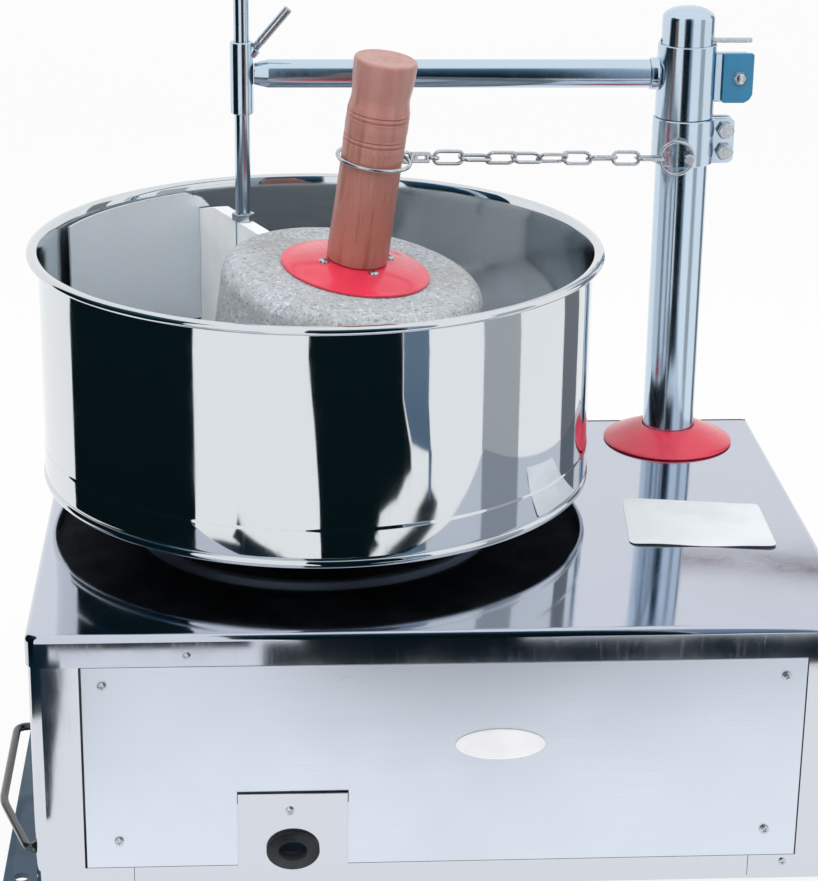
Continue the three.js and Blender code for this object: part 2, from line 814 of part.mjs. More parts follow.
// Drum: shell, granite base stone, and the turntable that carries them on the shaft
function drum() {
  const skirt = drumBore;
  const band = drumRadius + bandProud;
  const lip = drumRadius + lipProud;
  const rollX = rimRadius - rimRoll;
  const shell = turned(
    [
      [0, panZ],
      [skirt, panZ],
      [skirt, lipZ],
      [lip - lipProud / 2, lipZ],
      [lip, lipZ + lipHeight / 3],
      [lip, lipZ + (lipHeight * 2) / 3],
      [band, lipZ + lipHeight],
      [band, lipZ + bandHeight - bandProud],
      [drumRadius, lipZ + bandHeight],
      ...arc(rollX, rimZ, rimRoll, rimRollHeight, -150, 150, 6),
      [drumBore, rimZ - rimRollHeight / 2],
      [drumBore, panZ + drumWall],
      [0, panZ + drumWall],
    ],
  );
  const foot = panZ + drumWall + fit;
  const stoneRim = drumBore - running;
  const edge = Math.acos((bowlCentreZ - ringZ) / bowlRadius) / degrees;
  const base = turned(
    [
      [0, foot],
      [stoneRim, foot],
      [stoneRim, ringZ - graniteEdge],
      [stoneRim - graniteEdge, ringZ],
      ...arc(0, bowlCentreZ, bowlRadius, bowlRadius, -90 + edge, -90, 6),
    ],
  );
  const top = panZ - fit;
  const under = top - turntableThick;
  const hubFoot = under - hubLength;
  const table = turned(
    [
      [0, top - hubCover + fit],
      [shaftBore, top - hubCover + fit],
      [shaftBore, hubFoot],
      [hubRadius, hubFoot],
      [hubRadius, under],
      [turntableRadius, under],
      [turntableRadius, under + turntableRim],
      [turntableRadius - turntableStep, under + turntableRim],
      [turntableRadius - turntableStep, top],
      [0, top],
    ],
  );
  return group(
    piece("drum_shell", shell, polished, drumX, drumY),
    piece("granite_base", base, granite, drumX, drumY),
    piece("turntable", table, darkIron, drumX, drumY),
  );
}

// The roller stone's axis: its nose's centre, and the direction up the handle
function stoneAxis() {
  const direction = new THREE.Vector3(Math.tan(leanRight * degrees), -Math.tan(leanFront * degrees), 1);
  direction.normalize();
  const reach = bowlRadius - noseRadius - grindingGap;
  const drop = Math.sqrt(reach ** 2 - stoneOffset ** 2);
  const centre = new THREE.Vector3(
    drumX + stoneOffset * stoneShareX,
    drumY - stoneOffset * Math.sqrt(1 - stoneShareX ** 2),
    bowlCentreZ - drop,
  );
  return { centre, direction };
}

const stoneTop = stoneHeight - noseRadius; // from the nose's centre, up the axis
const capTop = stoneTop + fit + capHeight;

// Roller stone with its cap plate, tie rod and handle, on its leaning axis
function rollerStone() {
  const bore = tieRodRadius + fit;
  const half = Math.asin(noseHalf / noseRadius) / degrees;
  const heelFoot = -noseRadius * Math.cos(half * degrees);
  const stone = turned(
    [
      ...arc(0, 0, noseRadius, noseRadius, -90, -90 + half, 5),
      [noseHalf + heelWidth, heelFoot + heelHeight / 3],
      [stoneRadius, heelFoot + heelHeight],
      ...arc(stoneRadius - shoulderWidth, stoneTop - shoulderHeight, shoulderWidth, shoulderHeight, 0, 90, 5),
      [bore, stoneTop],
      [bore, stoneTop - tieRodInStone - tieRodPlay],
      [0, stoneTop - tieRodInStone - tieRodPlay],
    ],
  );
  const capFoot = stoneTop + fit;
  // Shares of the radius and of the dome
  const capShares = [[1, 0], [0.9, 0.15], [0.7, 0.62], [0.5, 0.92], [0.43, 1]];
  const cap = turned(
    [
      [bore, capFoot],
      [capRadius, capFoot],
      ...capShares.map(([r, z]) => [capRadius * r, capFoot + capEdge + (capHeight - capEdge) * z]),
      [bore, capTop],
      [bore, capFoot],
    ],
  );
  const handleFoot = capTop + fit;
  const rodEnd = handleFoot + tieRodInHandle;
  const grooveShares = [0.59, 0.655, 0.73, 0.79]; // of the handle's length
  const grooves = grooveShares.flatMap((share) => {
    const z = handleFoot + handleLength * share;
    return [
      [handleRadius + handleSwell, z - grooveWidth],
      [handleRadius - grooveDepth, z],
      [handleRadius + handleSwell / 2, z + grooveWidth],
    ];
  });
  const handleTop = handleFoot + handleLength;
  const grip = turned(
    [
      [0, rodEnd + tieRodPlay],
      [bore, rodEnd + tieRodPlay],
      [bore, handleFoot],
      [handleRadius, handleFoot],
      [handleRadius + handleSwell, handleFoot + handleRadius / 2],
      [handleRadius, handleFoot + (handleLength * grooveShares[0]) / 2],
      ...grooves,
      [handleRadius + handleSwell, handleTop - chamfer],
      [handleRadius + handleSwell - chamfer, handleTop],
      [0, handleTop],
    ],
  );
  const rod = bar(tieRodRadius, stoneTop - tieRodInStone, rodEnd);
  const { centre, direction } = stoneAxis();
  const made = group(
    piece("grinding_stone", stone, granite),
    piece("stone_cap_plate", cap, redPaint),
    piece("stone_tie_rod", rod, brushed),
    piece("wooden_handle", grip, wood),
  );
  made.position.copy(centre);
  made.quaternion.setFromUnitVectors(up, direction);
  return made;
}

// Pillar with its socket, red flange and retaining pin
function pillar() {
  const foot = rearCrossThick + fit;
  const top = armZ + pillarAbove;
  const wall = pillarRadius - pillarWall;
  const pinZ = sleeveZ + sleeveHeight + fit + pinRadius;
  const tube = turned(
    [
      [wall, foot],
      [pillarRadius, foot],
      ...arc(0, top - domeHeight, pillarRadius, domeHeight, 0, 90, 4),
      ...arc(0, top - domeHeight, wall, domeHeight - pillarWall, 90, 0, 4),
      [wall, foot],
    ],
  );
  const pinHole = toRight(bar(pinRadius + fit, -sleeveRadius, sleeveRadius)).translate(0, 0, pinZ);
  const pin = toRight(
    turned(
      [
        [0, -pillarRadius - pinKnob],
        [pinRadius, -pillarRadius - pinKnob],
        [pinRadius, pinOut - chamfer],
        [pinRadius - chamfer / 2, pinOut],
        [0, pinOut],
      ],
    ),
  );
  const socket = turned(
    [
      [sleeveBore, foot],
      [socketFlange, foot],
      [socketFlange, foot + socketFlangeThick],
      [socketRadius, foot + socketFlangeThick],
      [socketRadius, foot + socketHeight],
      [sleeveBore, foot + socketHeight],
      [sleeveBore, foot],
    ],
  );
  // Shares of the radius and of the dome
  const domeShares = [[1, 0], [0.97, 0.1], [0.8, 0.42], [0.62, 0.73], [0.48, 0.95], [0.43, 1]];
  const red = turned(
    [
      [sleeveBore, deckZ + fit],
      [redRadius, deckZ + fit],
      ...domeShares.map(([r, z]) => [redRadius * r, deckZ + redEdge + (redHeight - redEdge) * z]),
      [sleeveBore, deckZ + redHeight],
      [sleeveBore, deckZ + fit],
    ],
  );
  return group(
    piece("pillar", cut(tube, pinHole), polished, pillarX, pillarY),
    piece("pillar_socket", socket, darkIron, pillarX, pillarY),
    piece("pillar_flange", red, redPaint, pillarX, pillarY),
    piece("retaining_pin", pin, zinc, pillarX, pillarY, pinZ),
  );
}

// Arm: sleeve with its lug, tube with a coned end, blue plate and its bolt
function arm() {
  const z1 = sleeveZ + sleeveHeight;
  const stubEnd = sleeveRadius + stubLength;
  const stub = toLeft(bar(stubRadius, 0, stubEnd)).translate(0, 0, armZ);
  const lug = block([0, 0, lugZ], [lugOut, lugThick, lugZ + lugHeight]);
  const boltX = lockPlateIn + lockPlateWidth / 2;
  const boltZ = lugZ + lugHeight / 2;
  const boltHole = toFront(bar(lockBoltShank + fit, -lugThick - overrun, lockPlateThick + overrun));
  boltHole.translate(boltX, 0, boltZ);
  const bore = bar(sleeveBore, sleeveZ - overrun, z1 + overrun);
  const sleeve = cut(join(bar(sleeveRadius, sleeveZ, z1), stub, lug), bore, boltHole);
  const tubeStart = stubEnd + fit;
  const tubeEnd = armLength - collarRadius - fit;
  const tube = toLeft(
    turned(
      [
        [0, tubeStart],
        [armRadius, tubeStart],
        [armRadius, tubeEnd - coneLength],
        [coneRadius, tubeEnd],
        [0, tubeEnd],
      ],
    ),
  );
  const plateFace = -fit;
  const lockPlate = cut(
    block(
      [lockPlateIn, plateFace - lockPlateThick, lugZ],
      [lockPlateIn + lockPlateWidth, plateFace, lugZ + lugHeight],
    ),
    boltHole,
  );
  const headFoot = lockPlateThick + 2 * fit;
  const bolt = toFront(
    turned(
      [
        [0, -lugThick],
        [lockBoltShank, -lugThick],
        [lockBoltShank, headFoot],
        [lockBoltRadius, headFoot],
        [lockBoltRadius, headFoot + lockBoltHead / 2],
        [lockBoltRadius / 2, headFoot + lockBoltHead],
        [0, headFoot + lockBoltHead],
      ],
    ),
  );
  return group(
    piece("arm_sleeve", sleeve, polished, pillarX, pillarY),
    piece("arm_tube", tube, polished, pillarX, pillarY, armZ),
    piece("lock_plate", lockPlate, bluePaint, pillarX, pillarY),
    piece("lock_bolt", bolt, zinc, pillarX + boltX, pillarY, boltZ),
  );
}

// Scraper: collar at the arm's end with its clamp screw, the rod, and the two plates inside the drum
function scraper() {
  const z0 = armZ - collarBelow;
  const z1 = z0 + collarHeight;
  // Geometry turned about Z, leaning to the right
  const tilt = (geometry) => geometry.rotateY((90 - clampAngle) * degrees);
  const sine = Math.sin(clampAngle * degrees);
  const cosine = Math.cos(clampAngle * degrees);
  const screwStart = (rodRadius + 2 * fit + clampScrewRadius * sine) / cosine;
  const boss = tilt(bar(clampBossRadius, collarRadius / 2, clampBossLength)).translate(0, 0, clampZ);
  const screwHole = tilt(bar(clampScrewRadius + fit, 0, clampBossLength + overrun));
  screwHole.translate(0, 0, clampZ);
  const rodHole = bar(rodRadius + fit, z0 - overrun, z1 + overrun);
  const collar = cut(join(bar(collarRadius, z0, z1), boss), rodHole, screwHole);
  const screw = tilt(
    turned(
      [
        [0, screwStart],
        [clampScrewRadius, screwStart],
        [clampScrewRadius, clampScrewLength - chamfer],
        [clampScrewRadius - chamfer, clampScrewLength],
        [0, clampScrewLength],
      ],
    ),
  );
  const nylonZ = deckZ + nylonTop;
  const rodZ = nylonZ - rodInNylon;
  const plateFoot = ringZ + nylonFoot;
  const toWall = [-1, 1].map((side) => -reachBack((side * nylonThick) / 2, drumBore - nylonGap));
  const nylonToWall = Math.min(...toWall);
  const board = cut(
    plate(
      [
        [-nylonToWall, plateFoot],
        [nylonToStone, plateFoot],
        [nylonToStone, nylonZ],
        [-nylonToWall + nylonDropLength, nylonZ],
        [-nylonToWall, nylonZ - nylonDrop],
      ],
      nylonThick,
    )
      .translate(0, 0, -nylonThick / 2)
      .rotateX(Math.PI / 2),
    bar(rodRadius + fit, rodZ - fit, nylonZ + overrun),
  ).rotateZ(nylonTurn * degrees);
  const nutFoot = nylonZ + fit;
  const nutTop = nutFoot + nutHeight;
  const nut = cut(
    bar(nutRadius, nutFoot, nutTop, 6),
    bar(rodRadius + fit, nutFoot - overrun, nutTop + overrun),
  );
  return group(
    piece("rod_collar", collar, polished, rodX, pillarY),
    piece("clamp_screw", screw, zinc, rodX, pillarY, clampZ),
    piece("scraper_rod", bar(rodRadius, rodZ, armZ + rodAbove), polished, rodX, pillarY),
    piece("nylon_scraper", board, nylon, rodX, pillarY),
    piece("scraper_nut", nut, zinc, rodX, pillarY),
    piece("guide_plate", guidePlate(), brushed, drumX, drumY),
  );
}

// The nylon plate's directions: towards the stone, and square to that on the guide plate's side
const nylonAlong = new THREE.Vector2(Math.cos(nylonTurn * degrees), Math.sin(nylonTurn * degrees));
const nylonSide = new THREE.Vector2(nylonAlong.y, -nylonAlong.x);

// Where a line along the nylon plate, offset across it, meets a circle round the drum's axis, behind the rod
function reachBack(across, radius) {
  const foot = new THREE.Vector2(rodFromDrumX, pillarFromDrumY).addScaledVector(nylonSide, across);
  const dot = foot.dot(nylonAlong);
  return -dot - Math.sqrt(dot ** 2 - foot.lengthSq() + radius ** 2);
}

// The curved plate along the drum's wall, with a tab that is fixed to the nylon plate
function guidePlate() {
  const outer = drumBore - guideGap;
  const inner = outer - guideThick;
  const z0 = ringZ + guideFoot;
  const height = deckZ + guideTop - z0;
  const across = nylonThick / 2 + fit;
  const reach = reachBack(across, (inner + outer) / 2);
  const foot = new THREE.Vector2(rodFromDrumX, pillarFromDrumY).addScaledVector(nylonSide, across);
  const start = foot.clone().addScaledVector(nylonAlong, reach);
  const from = Math.atan2(start.y, start.x) / degrees;
  const sector = [
    ...arc(0, 0, outer, outer, from, from + guideSweep, 12),
    ...arc(0, 0, inner, inner, from + guideSweep, from, 12),
  ];
  const corner = plate(
    [
      [-overrun, overrun],
      [-overrun, -guideCorner],
      ...arc(guideCorner, -guideCorner, guideCorner, guideCorner, 180, 90, 5),
      [guideCorner, overrun],
    ],
    guideGap + 2 * overrun,
  )
    .rotateX(Math.PI / 2)
    .translate(0, guideThick + overrun, 0)
    .rotateY(Math.PI)
    .translate(0, inner, z0 + height)
    .rotateZ((from - 90) * degrees);
  const tab = block([reach, -guideThick, 0], [reach + tabLength, 0, tabHeight])
    .rotateZ(nylonTurn * degrees)
    .translate(foot.x, foot.y, z0 + (height - tabHeight) / 2);
  return cut(join(plate(sector, height).translate(0, 0, z0), tab), corner);
}

// One chain link in the XZ plane, long along X: a torus pulled apart in the middle
function linkGeometry(pitch) {
  const halfStep = Math.PI / linkSegments;
  const flat = linkWidth * (1 - Math.cos(halfStep)); // what the faceted bow falls short
  const long = (pitch - linkBite) / 2 + linkWire + flat; // half length at the wire's centre
  const torus = new THREE.TorusGeometry(linkWidth, linkWire, 6, linkSegments);
  const geometry = torus.rotateZ(halfStep).rotateX(Math.PI / 2);
  const position = geometry.attributes.position;
  for (let i = 0; i < position.count; i++) {
    position.setX(i, position.getX(i) + Math.sign(position.getX(i)) * (long - linkWidth));
  }
  return geometry;
}

// Chain from the handle's ring to the ring on the pillar's clamp collar
function chain() {
  const { centre, direction } = stoneAxis();
  const collarBore = pillarRadius + fit;
  const collarOuter = collarBore + collarWall;
  const z1 = sleeveZ - fit;
  const z0 = z1 - chainCollarHeight;
  const earEnd = collarOuter + earOut;
  const earDepth = earGap / 2 + earThick;
  const boltX = collarOuter + earOut / 2;
  const boltHeights = [z1 - clampBoltInset, z0 + clampBoltInset];
  const boltHole = (z) =>
    toFront(bar(clampBoltRadius + fit, -earDepth - overrun, earDepth + overrun)).translate(boltX, 0, z);
  const studZ = z0 + studUp;
  const studRoot = collarOuter - collarWall / 2;
  const stud = toFront(
    turned(
      [
        [0, studRoot],
        [studRadius, studRoot],
        [studRadius, collarOuter + studLength],
        [studHead, collarOuter + studLength],
        [studHead, collarOuter + studLength + studHeadThick],
        [0, collarOuter + studLength + studHeadThick],
      ],
    ),
  ).translate(0, 0, studZ);
  const collar = cut(
    join(bar(collarOuter, z0, z1), block([0, -earDepth, z0], [earEnd, earDepth, z1]), stud),
    bar(collarBore, z0 - overrun, z1 + overrun),
    block([0, -earGap / 2, z0 - overrun], [earEnd + overrun, earGap / 2, z1 + overrun]),
    ...boltHeights.map(boltHole),
  );
  const made = group(piece("chain_collar", collar, polished, pillarX, pillarY));
  ["upper", "lower"].forEach((word, i) => {
    const face = earDepth + fit;
    const bolt = toFront(
      turned(
        [
          [0, -face - clampNutHeight],
          [clampNutRadius, -face - clampNutHeight],
          [clampNutRadius, -face],
          [clampBoltRadius, -face],
          [clampBoltRadius, face],
          [clampNutRadius, face],
          [clampNutRadius, face + clampNutHeight],
          [0, face + clampNutHeight],
        ],
        6,
      ),
    );
    made.add(piece(`clamp_bolt_${word}`, bolt, zinc, pillarX + boltX, pillarY, boltHeights[i]));
  });
  const ringX = pillarX - pillarRingRadius + pillarRingWire + studRadius + fit;
  const ringY = pillarY - collarOuter - studLength / 2;
  const pillarRing = new THREE.TorusGeometry(pillarRingRadius, pillarRingWire, 6, 24).rotateX(Math.PI / 2);
  made.add(piece("pillar_ring", pillarRing, zinc, ringX, ringY, studZ));

  const ringHeight = stoneTop + fit + handleRingUp;
  const ringCentre = centre.clone().addScaledVector(direction, ringHeight);
  const end = new THREE.Vector3(ringX - pillarRingRadius, ringY, studZ);
  const pull = end.clone().sub(ringCentre);
  pull.addScaledVector(direction, -pull.dot(direction)).normalize();
  const slack = handleRingRadius - handleRingWire - handleRadius - handleSwell - fit;
  ringCentre.addScaledVector(pull, slack);
  const handleRing = piece(
    "handle_ring",
    new THREE.TorusGeometry(handleRingRadius, handleRingWire, 6, 28),
    zinc,
    ...ringCentre.toArray(),
  );
  handleRing.quaternion.setFromUnitVectors(up, direction);
  made.add(handleRing);

  const hold = ringCentre.clone().addScaledVector(pull, handleRingRadius);
  const run = end.clone().sub(hold);
  const heading = run.clone().normalize();
  const side = new THREE.Vector3().crossVectors(up, heading).normalize();
  const lift = new THREE.Vector3().crossVectors(heading, side);
  const basis = new THREE.Matrix4().makeBasis(heading, side, lift);
  const frame = new THREE.Quaternion().setFromRotationMatrix(basis);
  const inside = eyeRadius - eyeWire;
  const firstEye = handleRingWire + fit - inside; // the eye's centre, past the ring's wire
  const eyeSpan = 2 * eyeRadius + clipLength;
  const eye = (turn) => new THREE.TorusGeometry(eyeRadius, eyeWire, 6, 12).rotateX(turn);
  const clipBody = block(
    [eyeRadius, -clipThick / 2, -clipWidth / 2],
    [eyeRadius + clipLength, clipThick / 2, clipWidth / 2],
  );
  const clip = piece(
    "swivel_clip",
    join(eye(Math.PI / 2), clipBody, eye(0).translate(eyeSpan, 0, 0)),
    zinc,
    ...hold.clone().addScaledVector(heading, -firstEye).toArray(),
  );
  clip.quaternion.copy(frame);
  made.add(clip);

  const chainStart = -firstEye + eyeSpan + inside; // inner side of the far eye's wire
  const chainEnd = run.length() + pillarRingWire; // inner side of the ring's wire
  const pitch = (chainEnd - chainStart + linkBite + 2 * fit) / chainLinks;
  const firstLink = (pitch - linkBite) / 2 - fit;
  const twist = Math.PI / 2 + Math.PI / 2 / (chainLinks - 1);
  const links = Array.from({ length: chainLinks }, (_, i) => {
    const link = linkGeometry(pitch);
    link.applyMatrix4(new THREE.Matrix4().makeRotationX(twist * i)).translate(firstLink + pitch * i, 0, 0);
    return link;
  });
  const start = hold.clone().addScaledVector(heading, chainStart);
  const linked = piece("chain", join(...links), zinc, ...start.toArray());
  linked.quaternion.copy(frame);
  made.add(linked);
  return made;
}

const grinder = group(
  baseFrame(),
  bodyShell(),
  deck(),
  frontPanel(),
  carryHandles(),
  drive(),
  drum(),
  rollerStone(),
  pillar(),
  arm(),
  scraper(),
  chain(),
);

export default grinder;
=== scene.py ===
"""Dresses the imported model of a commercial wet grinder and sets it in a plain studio.

Sizes are in millimetres in the part's frame (+X right, +Y back, +Z up, floor at zero).
Meshes are scaled to metres.
"""

from __future__ import annotations

import json
import logging
import math
from collections.abc import Sequence
from dataclasses import dataclass
from enum import Enum

import bmesh
import bpy
from bmesh.types import BMEdge, BMesh, BMVert
from bpy.types import Material, Node, NodeSocket, NodeTree, Object
from mathutils import Matrix, Vector

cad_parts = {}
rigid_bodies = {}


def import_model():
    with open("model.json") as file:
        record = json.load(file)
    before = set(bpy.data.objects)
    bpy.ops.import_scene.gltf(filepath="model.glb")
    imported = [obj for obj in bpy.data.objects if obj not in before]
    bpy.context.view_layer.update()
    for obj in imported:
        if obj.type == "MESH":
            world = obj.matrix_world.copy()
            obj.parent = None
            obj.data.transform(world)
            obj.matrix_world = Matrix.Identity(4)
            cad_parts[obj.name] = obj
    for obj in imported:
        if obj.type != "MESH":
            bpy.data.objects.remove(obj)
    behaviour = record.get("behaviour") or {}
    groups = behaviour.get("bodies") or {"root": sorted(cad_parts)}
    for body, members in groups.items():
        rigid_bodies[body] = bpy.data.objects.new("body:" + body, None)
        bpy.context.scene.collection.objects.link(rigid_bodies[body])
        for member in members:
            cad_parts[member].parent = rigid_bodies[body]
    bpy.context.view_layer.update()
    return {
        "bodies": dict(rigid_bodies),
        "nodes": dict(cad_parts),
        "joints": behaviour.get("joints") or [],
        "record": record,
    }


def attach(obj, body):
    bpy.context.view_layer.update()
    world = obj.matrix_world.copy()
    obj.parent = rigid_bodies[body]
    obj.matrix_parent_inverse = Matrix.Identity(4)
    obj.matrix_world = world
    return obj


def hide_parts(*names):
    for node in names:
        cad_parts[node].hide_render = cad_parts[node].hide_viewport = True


log = logging.getLogger("wet_grinder")

MM = 0.001

Point = tuple[float, float, float]
Flat = tuple[float, float]
Profile = Sequence[Flat]
Tones = Sequence[tuple[float, str]]
UP = Vector((0.0, 0.0, 1.0))


class Body(Enum):
    """The bodies that pieces ride on."""

    FRAME = "frame"
    DRUM = "drum"
    ROLLER = "roller"
    ARM = "arm"
    CLAMP = "clamp"
    SCRAPER = "scraper"
    PIN = "pin"


class Slot(Enum):
    """The record's finishes."""

    POLISHED = "polished_steel"
    BRUSHED = "brushed_steel"
    ZINC = "zinc"
    IRON = "dark_iron"
    GRANITE = "granite"
    RED = "red_paint"
    BLUE = "blue_paint"
    BLACK = "black_paint"
    MOTOR = "motor_paint"
    WOOD = "wood"
    NYLON = "nylon"
    RUBBER = "rubber"
    ENAMEL = "enamel"


# Materials


def linear(code: str, alpha: float = 1.0) -> tuple[float, float, float, float]:
    """Turns an sRGB hex colour into linear RGBA.

    Args:
        code: Six hex digits, such as "c8ced2".
        alpha: Opacity.

    Returns:
        The linear colour.
    """
    parts = [int(code[i : i + 2], 16) / 255 for i in (0, 2, 4)]
    r, g, b = (c / 12.92 if c <= 0.04045 else ((c + 0.055) / 1.055) ** 2.4 for c in parts)
    return (r, g, b, alpha)


def add_node(tree: NodeTree, kind: str, settings: dict | None = None, links: dict | None = None) -> Node:
    """Adds a node with its settings and links.

    Args:
        tree: The node tree.
        kind: The node's type, such as "ShaderNodeTexNoise".
        settings: Values of its properties (by name) or of its input sockets (by name or number).
        links: For each input socket, the output socket that feeds it.

    Returns:
        The new node.
    """
    node = tree.nodes.new(kind)
    for key, value in (settings or {}).items():
        if isinstance(key, str) and hasattr(node, key) and key not in node.inputs:
            setattr(node, key, value)
        else:
            node.inputs[key].default_value = value
    for key, source in (links or {}).items():
        tree.links.new(source, node.inputs[key])
    return node


def ramp_stops(node: Node, stops: Sequence[tuple[float, str | float]]) -> None:
    """Sets a Color Ramp's stops.

    Args:
        node: The ColorRamp node.
        stops: Pairs of a place from 0 to 1 and a hex colour or a grey level.
    """
    elements = node.color_ramp.elements
    while len(elements) > len(stops):
        elements.remove(elements[-1])
    while len(elements) < len(stops):
        elements.new(1.0)
    for element, (place, value) in zip(elements, stops):
        element.position = place
        element.color = linear(value) if isinstance(value, str) else (value, value, value, 1.0)


@dataclass(frozen=True)
class Finish:
    """What every finish shares: a name, a colour, a roughness, and the turn of its pattern."""

    name: str
    colour: str
    roughness: float
    turn: Point = (0.0, 0.0, 0.0)
    centre: Point = (0.0, 0.0, 0.0)

    def start(self, metallic: float, **inputs: float) -> tuple[Material, NodeTree, Node]:
        """Makes the material with its shader.

        Args:
            metallic: The shader's Metallic.
            **inputs: More shader inputs, with underscores for spaces.

        Returns:
            The material, its tree and its Principled shader.
        """
        material = bpy.data.materials.new(self.name)
        material.use_nodes = True
        tree = material.node_tree
        tree.nodes.clear()
        values = {"Base Color": linear(self.colour), "Roughness": self.roughness, "Metallic": metallic}
        values.update({key.replace("_", " "): value for key, value in inputs.items()})
        shader = add_node(tree, "ShaderNodeBsdfPrincipled", values)
        add_node(tree, "ShaderNodeOutputMaterial", links={"Surface": shader.outputs["BSDF"]})
        material.diffuse_color = linear(self.colour)
        return material, tree, shader

    def roughen(
        self,
        tree: NodeTree,
        shader: Node,
        pattern: NodeSocket,
        less: float,
        more: float,
        low: float = 0.3,
        high: float = 0.7,
    ) -> None:
        """Lets a pattern vary the roughness.

        Args:
            tree: The material's tree.
            shader: Its shader.
            pattern: The pattern.
            less: How far the roughness falls below the finish's own.
            more: How far it rises above.
            low: The pattern's value where it is lowest.
            high: The pattern's value where it is highest.
        """
        rough = spread(tree, pattern, low, high, self.roughness - less, self.roughness + more)
        tree.links.new(rough, shader.inputs["Roughness"])

    def place(self, tree: NodeTree, stretch: Point = (1.0, 1.0, 1.0)) -> NodeSocket:
        """Object coordinates, centred, turned and stretched for this piece's pattern.

        Args:
            tree: The material's tree.
            stretch: Scale along each axis after the turn.

        Returns:
            The coordinate socket.
        """
        where = add_node(tree, "ShaderNodeTexCoord").outputs["Object"]
        if any(self.turn) or any(self.centre):
            settings = {"vector_type": "TEXTURE", "Location": self.centre, "Rotation": self.turn}
            where = add_node(tree, "ShaderNodeMapping", settings, {"Vector": where}).outputs["Vector"]
        return add_node(tree, "ShaderNodeMapping", {"Scale": stretch}, {"Vector": where}).outputs["Vector"]


def object_axes(tree: NodeTree) -> bpy.types.NodeOutputs:
    """Splits the object coordinates.

    Args:
        tree: The node tree.

    Returns:
        The sockets "X", "Y" and "Z".
    """
    where = add_node(tree, "ShaderNodeTexCoord").outputs["Object"]
    return add_node(tree, "ShaderNodeSeparateXYZ", links={0: where}).outputs


def noise(
    tree: NodeTree, where: NodeSocket, size_mm: float, detail: float = 4.0, rough: float = 0.5
) -> NodeSocket:
    """A noise whose blobs are about size_mm across.

    Args:
        tree: The material's tree.
        where: The coordinates.
        size_mm: Blob size.
        detail: Octaves.
        rough: How strong the fine octaves are.

    Returns:
        The factor socket.
    """
    settings = {"Scale": 1.0 / (size_mm * MM), "Detail": detail, "Roughness": rough}
    return add_node(tree, "ShaderNodeTexNoise", settings, {"Vector": where}).outputs["Fac"]


def spread(
    tree: NodeTree, value: NodeSocket, low: float, high: float, to_low: float, to_high: float
) -> NodeSocket:
    """Maps a value's range to another, clamped.

    Args:
        tree: The material's tree.
        value: What to map.
        low: Value that gives to_low.
        high: Value that gives to_high.
        to_low: Result at low.
        to_high: Result at high.

    Returns:
        The result socket.
    """
    settings = {"From Min": low, "From Max": high, "To Min": to_low, "To Max": to_high}
    return add_node(tree, "ShaderNodeMapRange", settings, {"Value": value}).outputs["Result"]


MIX_FIRST, MIX_SECOND, MIX_RESULT = 6, 7, 2  # numbers of a Mix node's colour sockets


def blend(tree: NodeTree, factor: NodeSocket, first: str | NodeSocket, second: str) -> NodeSocket:
    """Mixes a colour into another.

    Args:
        tree: The material's tree.
        factor: How much of the second.
        first: Hex colour or a colour socket.
        second: Hex colour.

    Returns:
        The colour socket.
    """
    node = add_node(tree, "ShaderNodeMix", {"data_type": "RGBA"}, {"Factor": factor})
    if isinstance(first, str):
        node.inputs[MIX_FIRST].default_value = linear(first)
    else:
        tree.links.new(first, node.inputs[MIX_FIRST])
    node.inputs[MIX_SECOND].default_value = linear(second)
    return node.outputs[MIX_RESULT]


def patch(
    tree: NodeTree,
    base: str | NodeSocket,
    colour: str,
    pattern: NodeSocket,
    low: float,
    high: float,
    most: float,
) -> NodeSocket:
    """Mixes a colour in where a pattern is strong.

    Args:
        tree: The material's tree.
        base: Hex colour or a colour socket.
        colour: Hex colour that is mixed in.
        pattern: The pattern.
        low: Its value where the mixing starts.
        high: Its value where the mixing is full.
        most: The share of the colour there.

    Returns:
        The colour socket.
    """
    return blend(tree, spread(tree, pattern, low, high, 0.0, most), base, colour)


def math_node(tree: NodeTree, operation: str, first: NodeSocket, second: NodeSocket | float) -> NodeSocket:
    """The result of a Math node.

    Args:
        tree: The node tree.
        operation: Its operation.
        first: Its first value.
        second: Its second value, a socket or a number.

    Returns:
        The result socket.
    """
    if isinstance(second, float):
        node = add_node(tree, "ShaderNodeMath", {"operation": operation, 1: second}, {0: first})
    else:
        node = add_node(tree, "ShaderNodeMath", {"operation": operation}, {0: first, 1: second})
    return node.outputs[0]


def seen_share(tree: NodeTree) -> NodeSocket:
    """Tells the rays that show something to the camera from those that carry light.

    Args:
        tree: The node tree.

    Returns:
        A socket with 1 for rays seen directly, in a mirror or through glass, and 0 for others.
    """
    path = add_node(tree, "ShaderNodeLightPath").outputs
    straight = math_node(tree, "MAXIMUM", path["Is Camera Ray"], path["Is Glossy Ray"])
    return math_node(tree, "MAXIMUM", straight, path["Is Transmission Ray"])


def relief(tree: NodeTree, shader: Node, layers: Sequence[tuple[NodeSocket, float]]) -> None:
    """Stacks bump layers onto a shader's normal.

    Args:
        tree: The material's tree.
        shader: The shader.
        layers: Height sockets, each with its depth in millimetres.
    """
    normal = None
    for height, depth in layers:
        links = {"Height": height}
        if normal:
            links["Normal"] = normal
        bump = add_node(tree, "ShaderNodeBump", {"Strength": 1.0, "Distance": depth * MM}, links)
        normal = bump.outputs["Normal"]
    tree.links.new(normal, shader.inputs["Normal"])


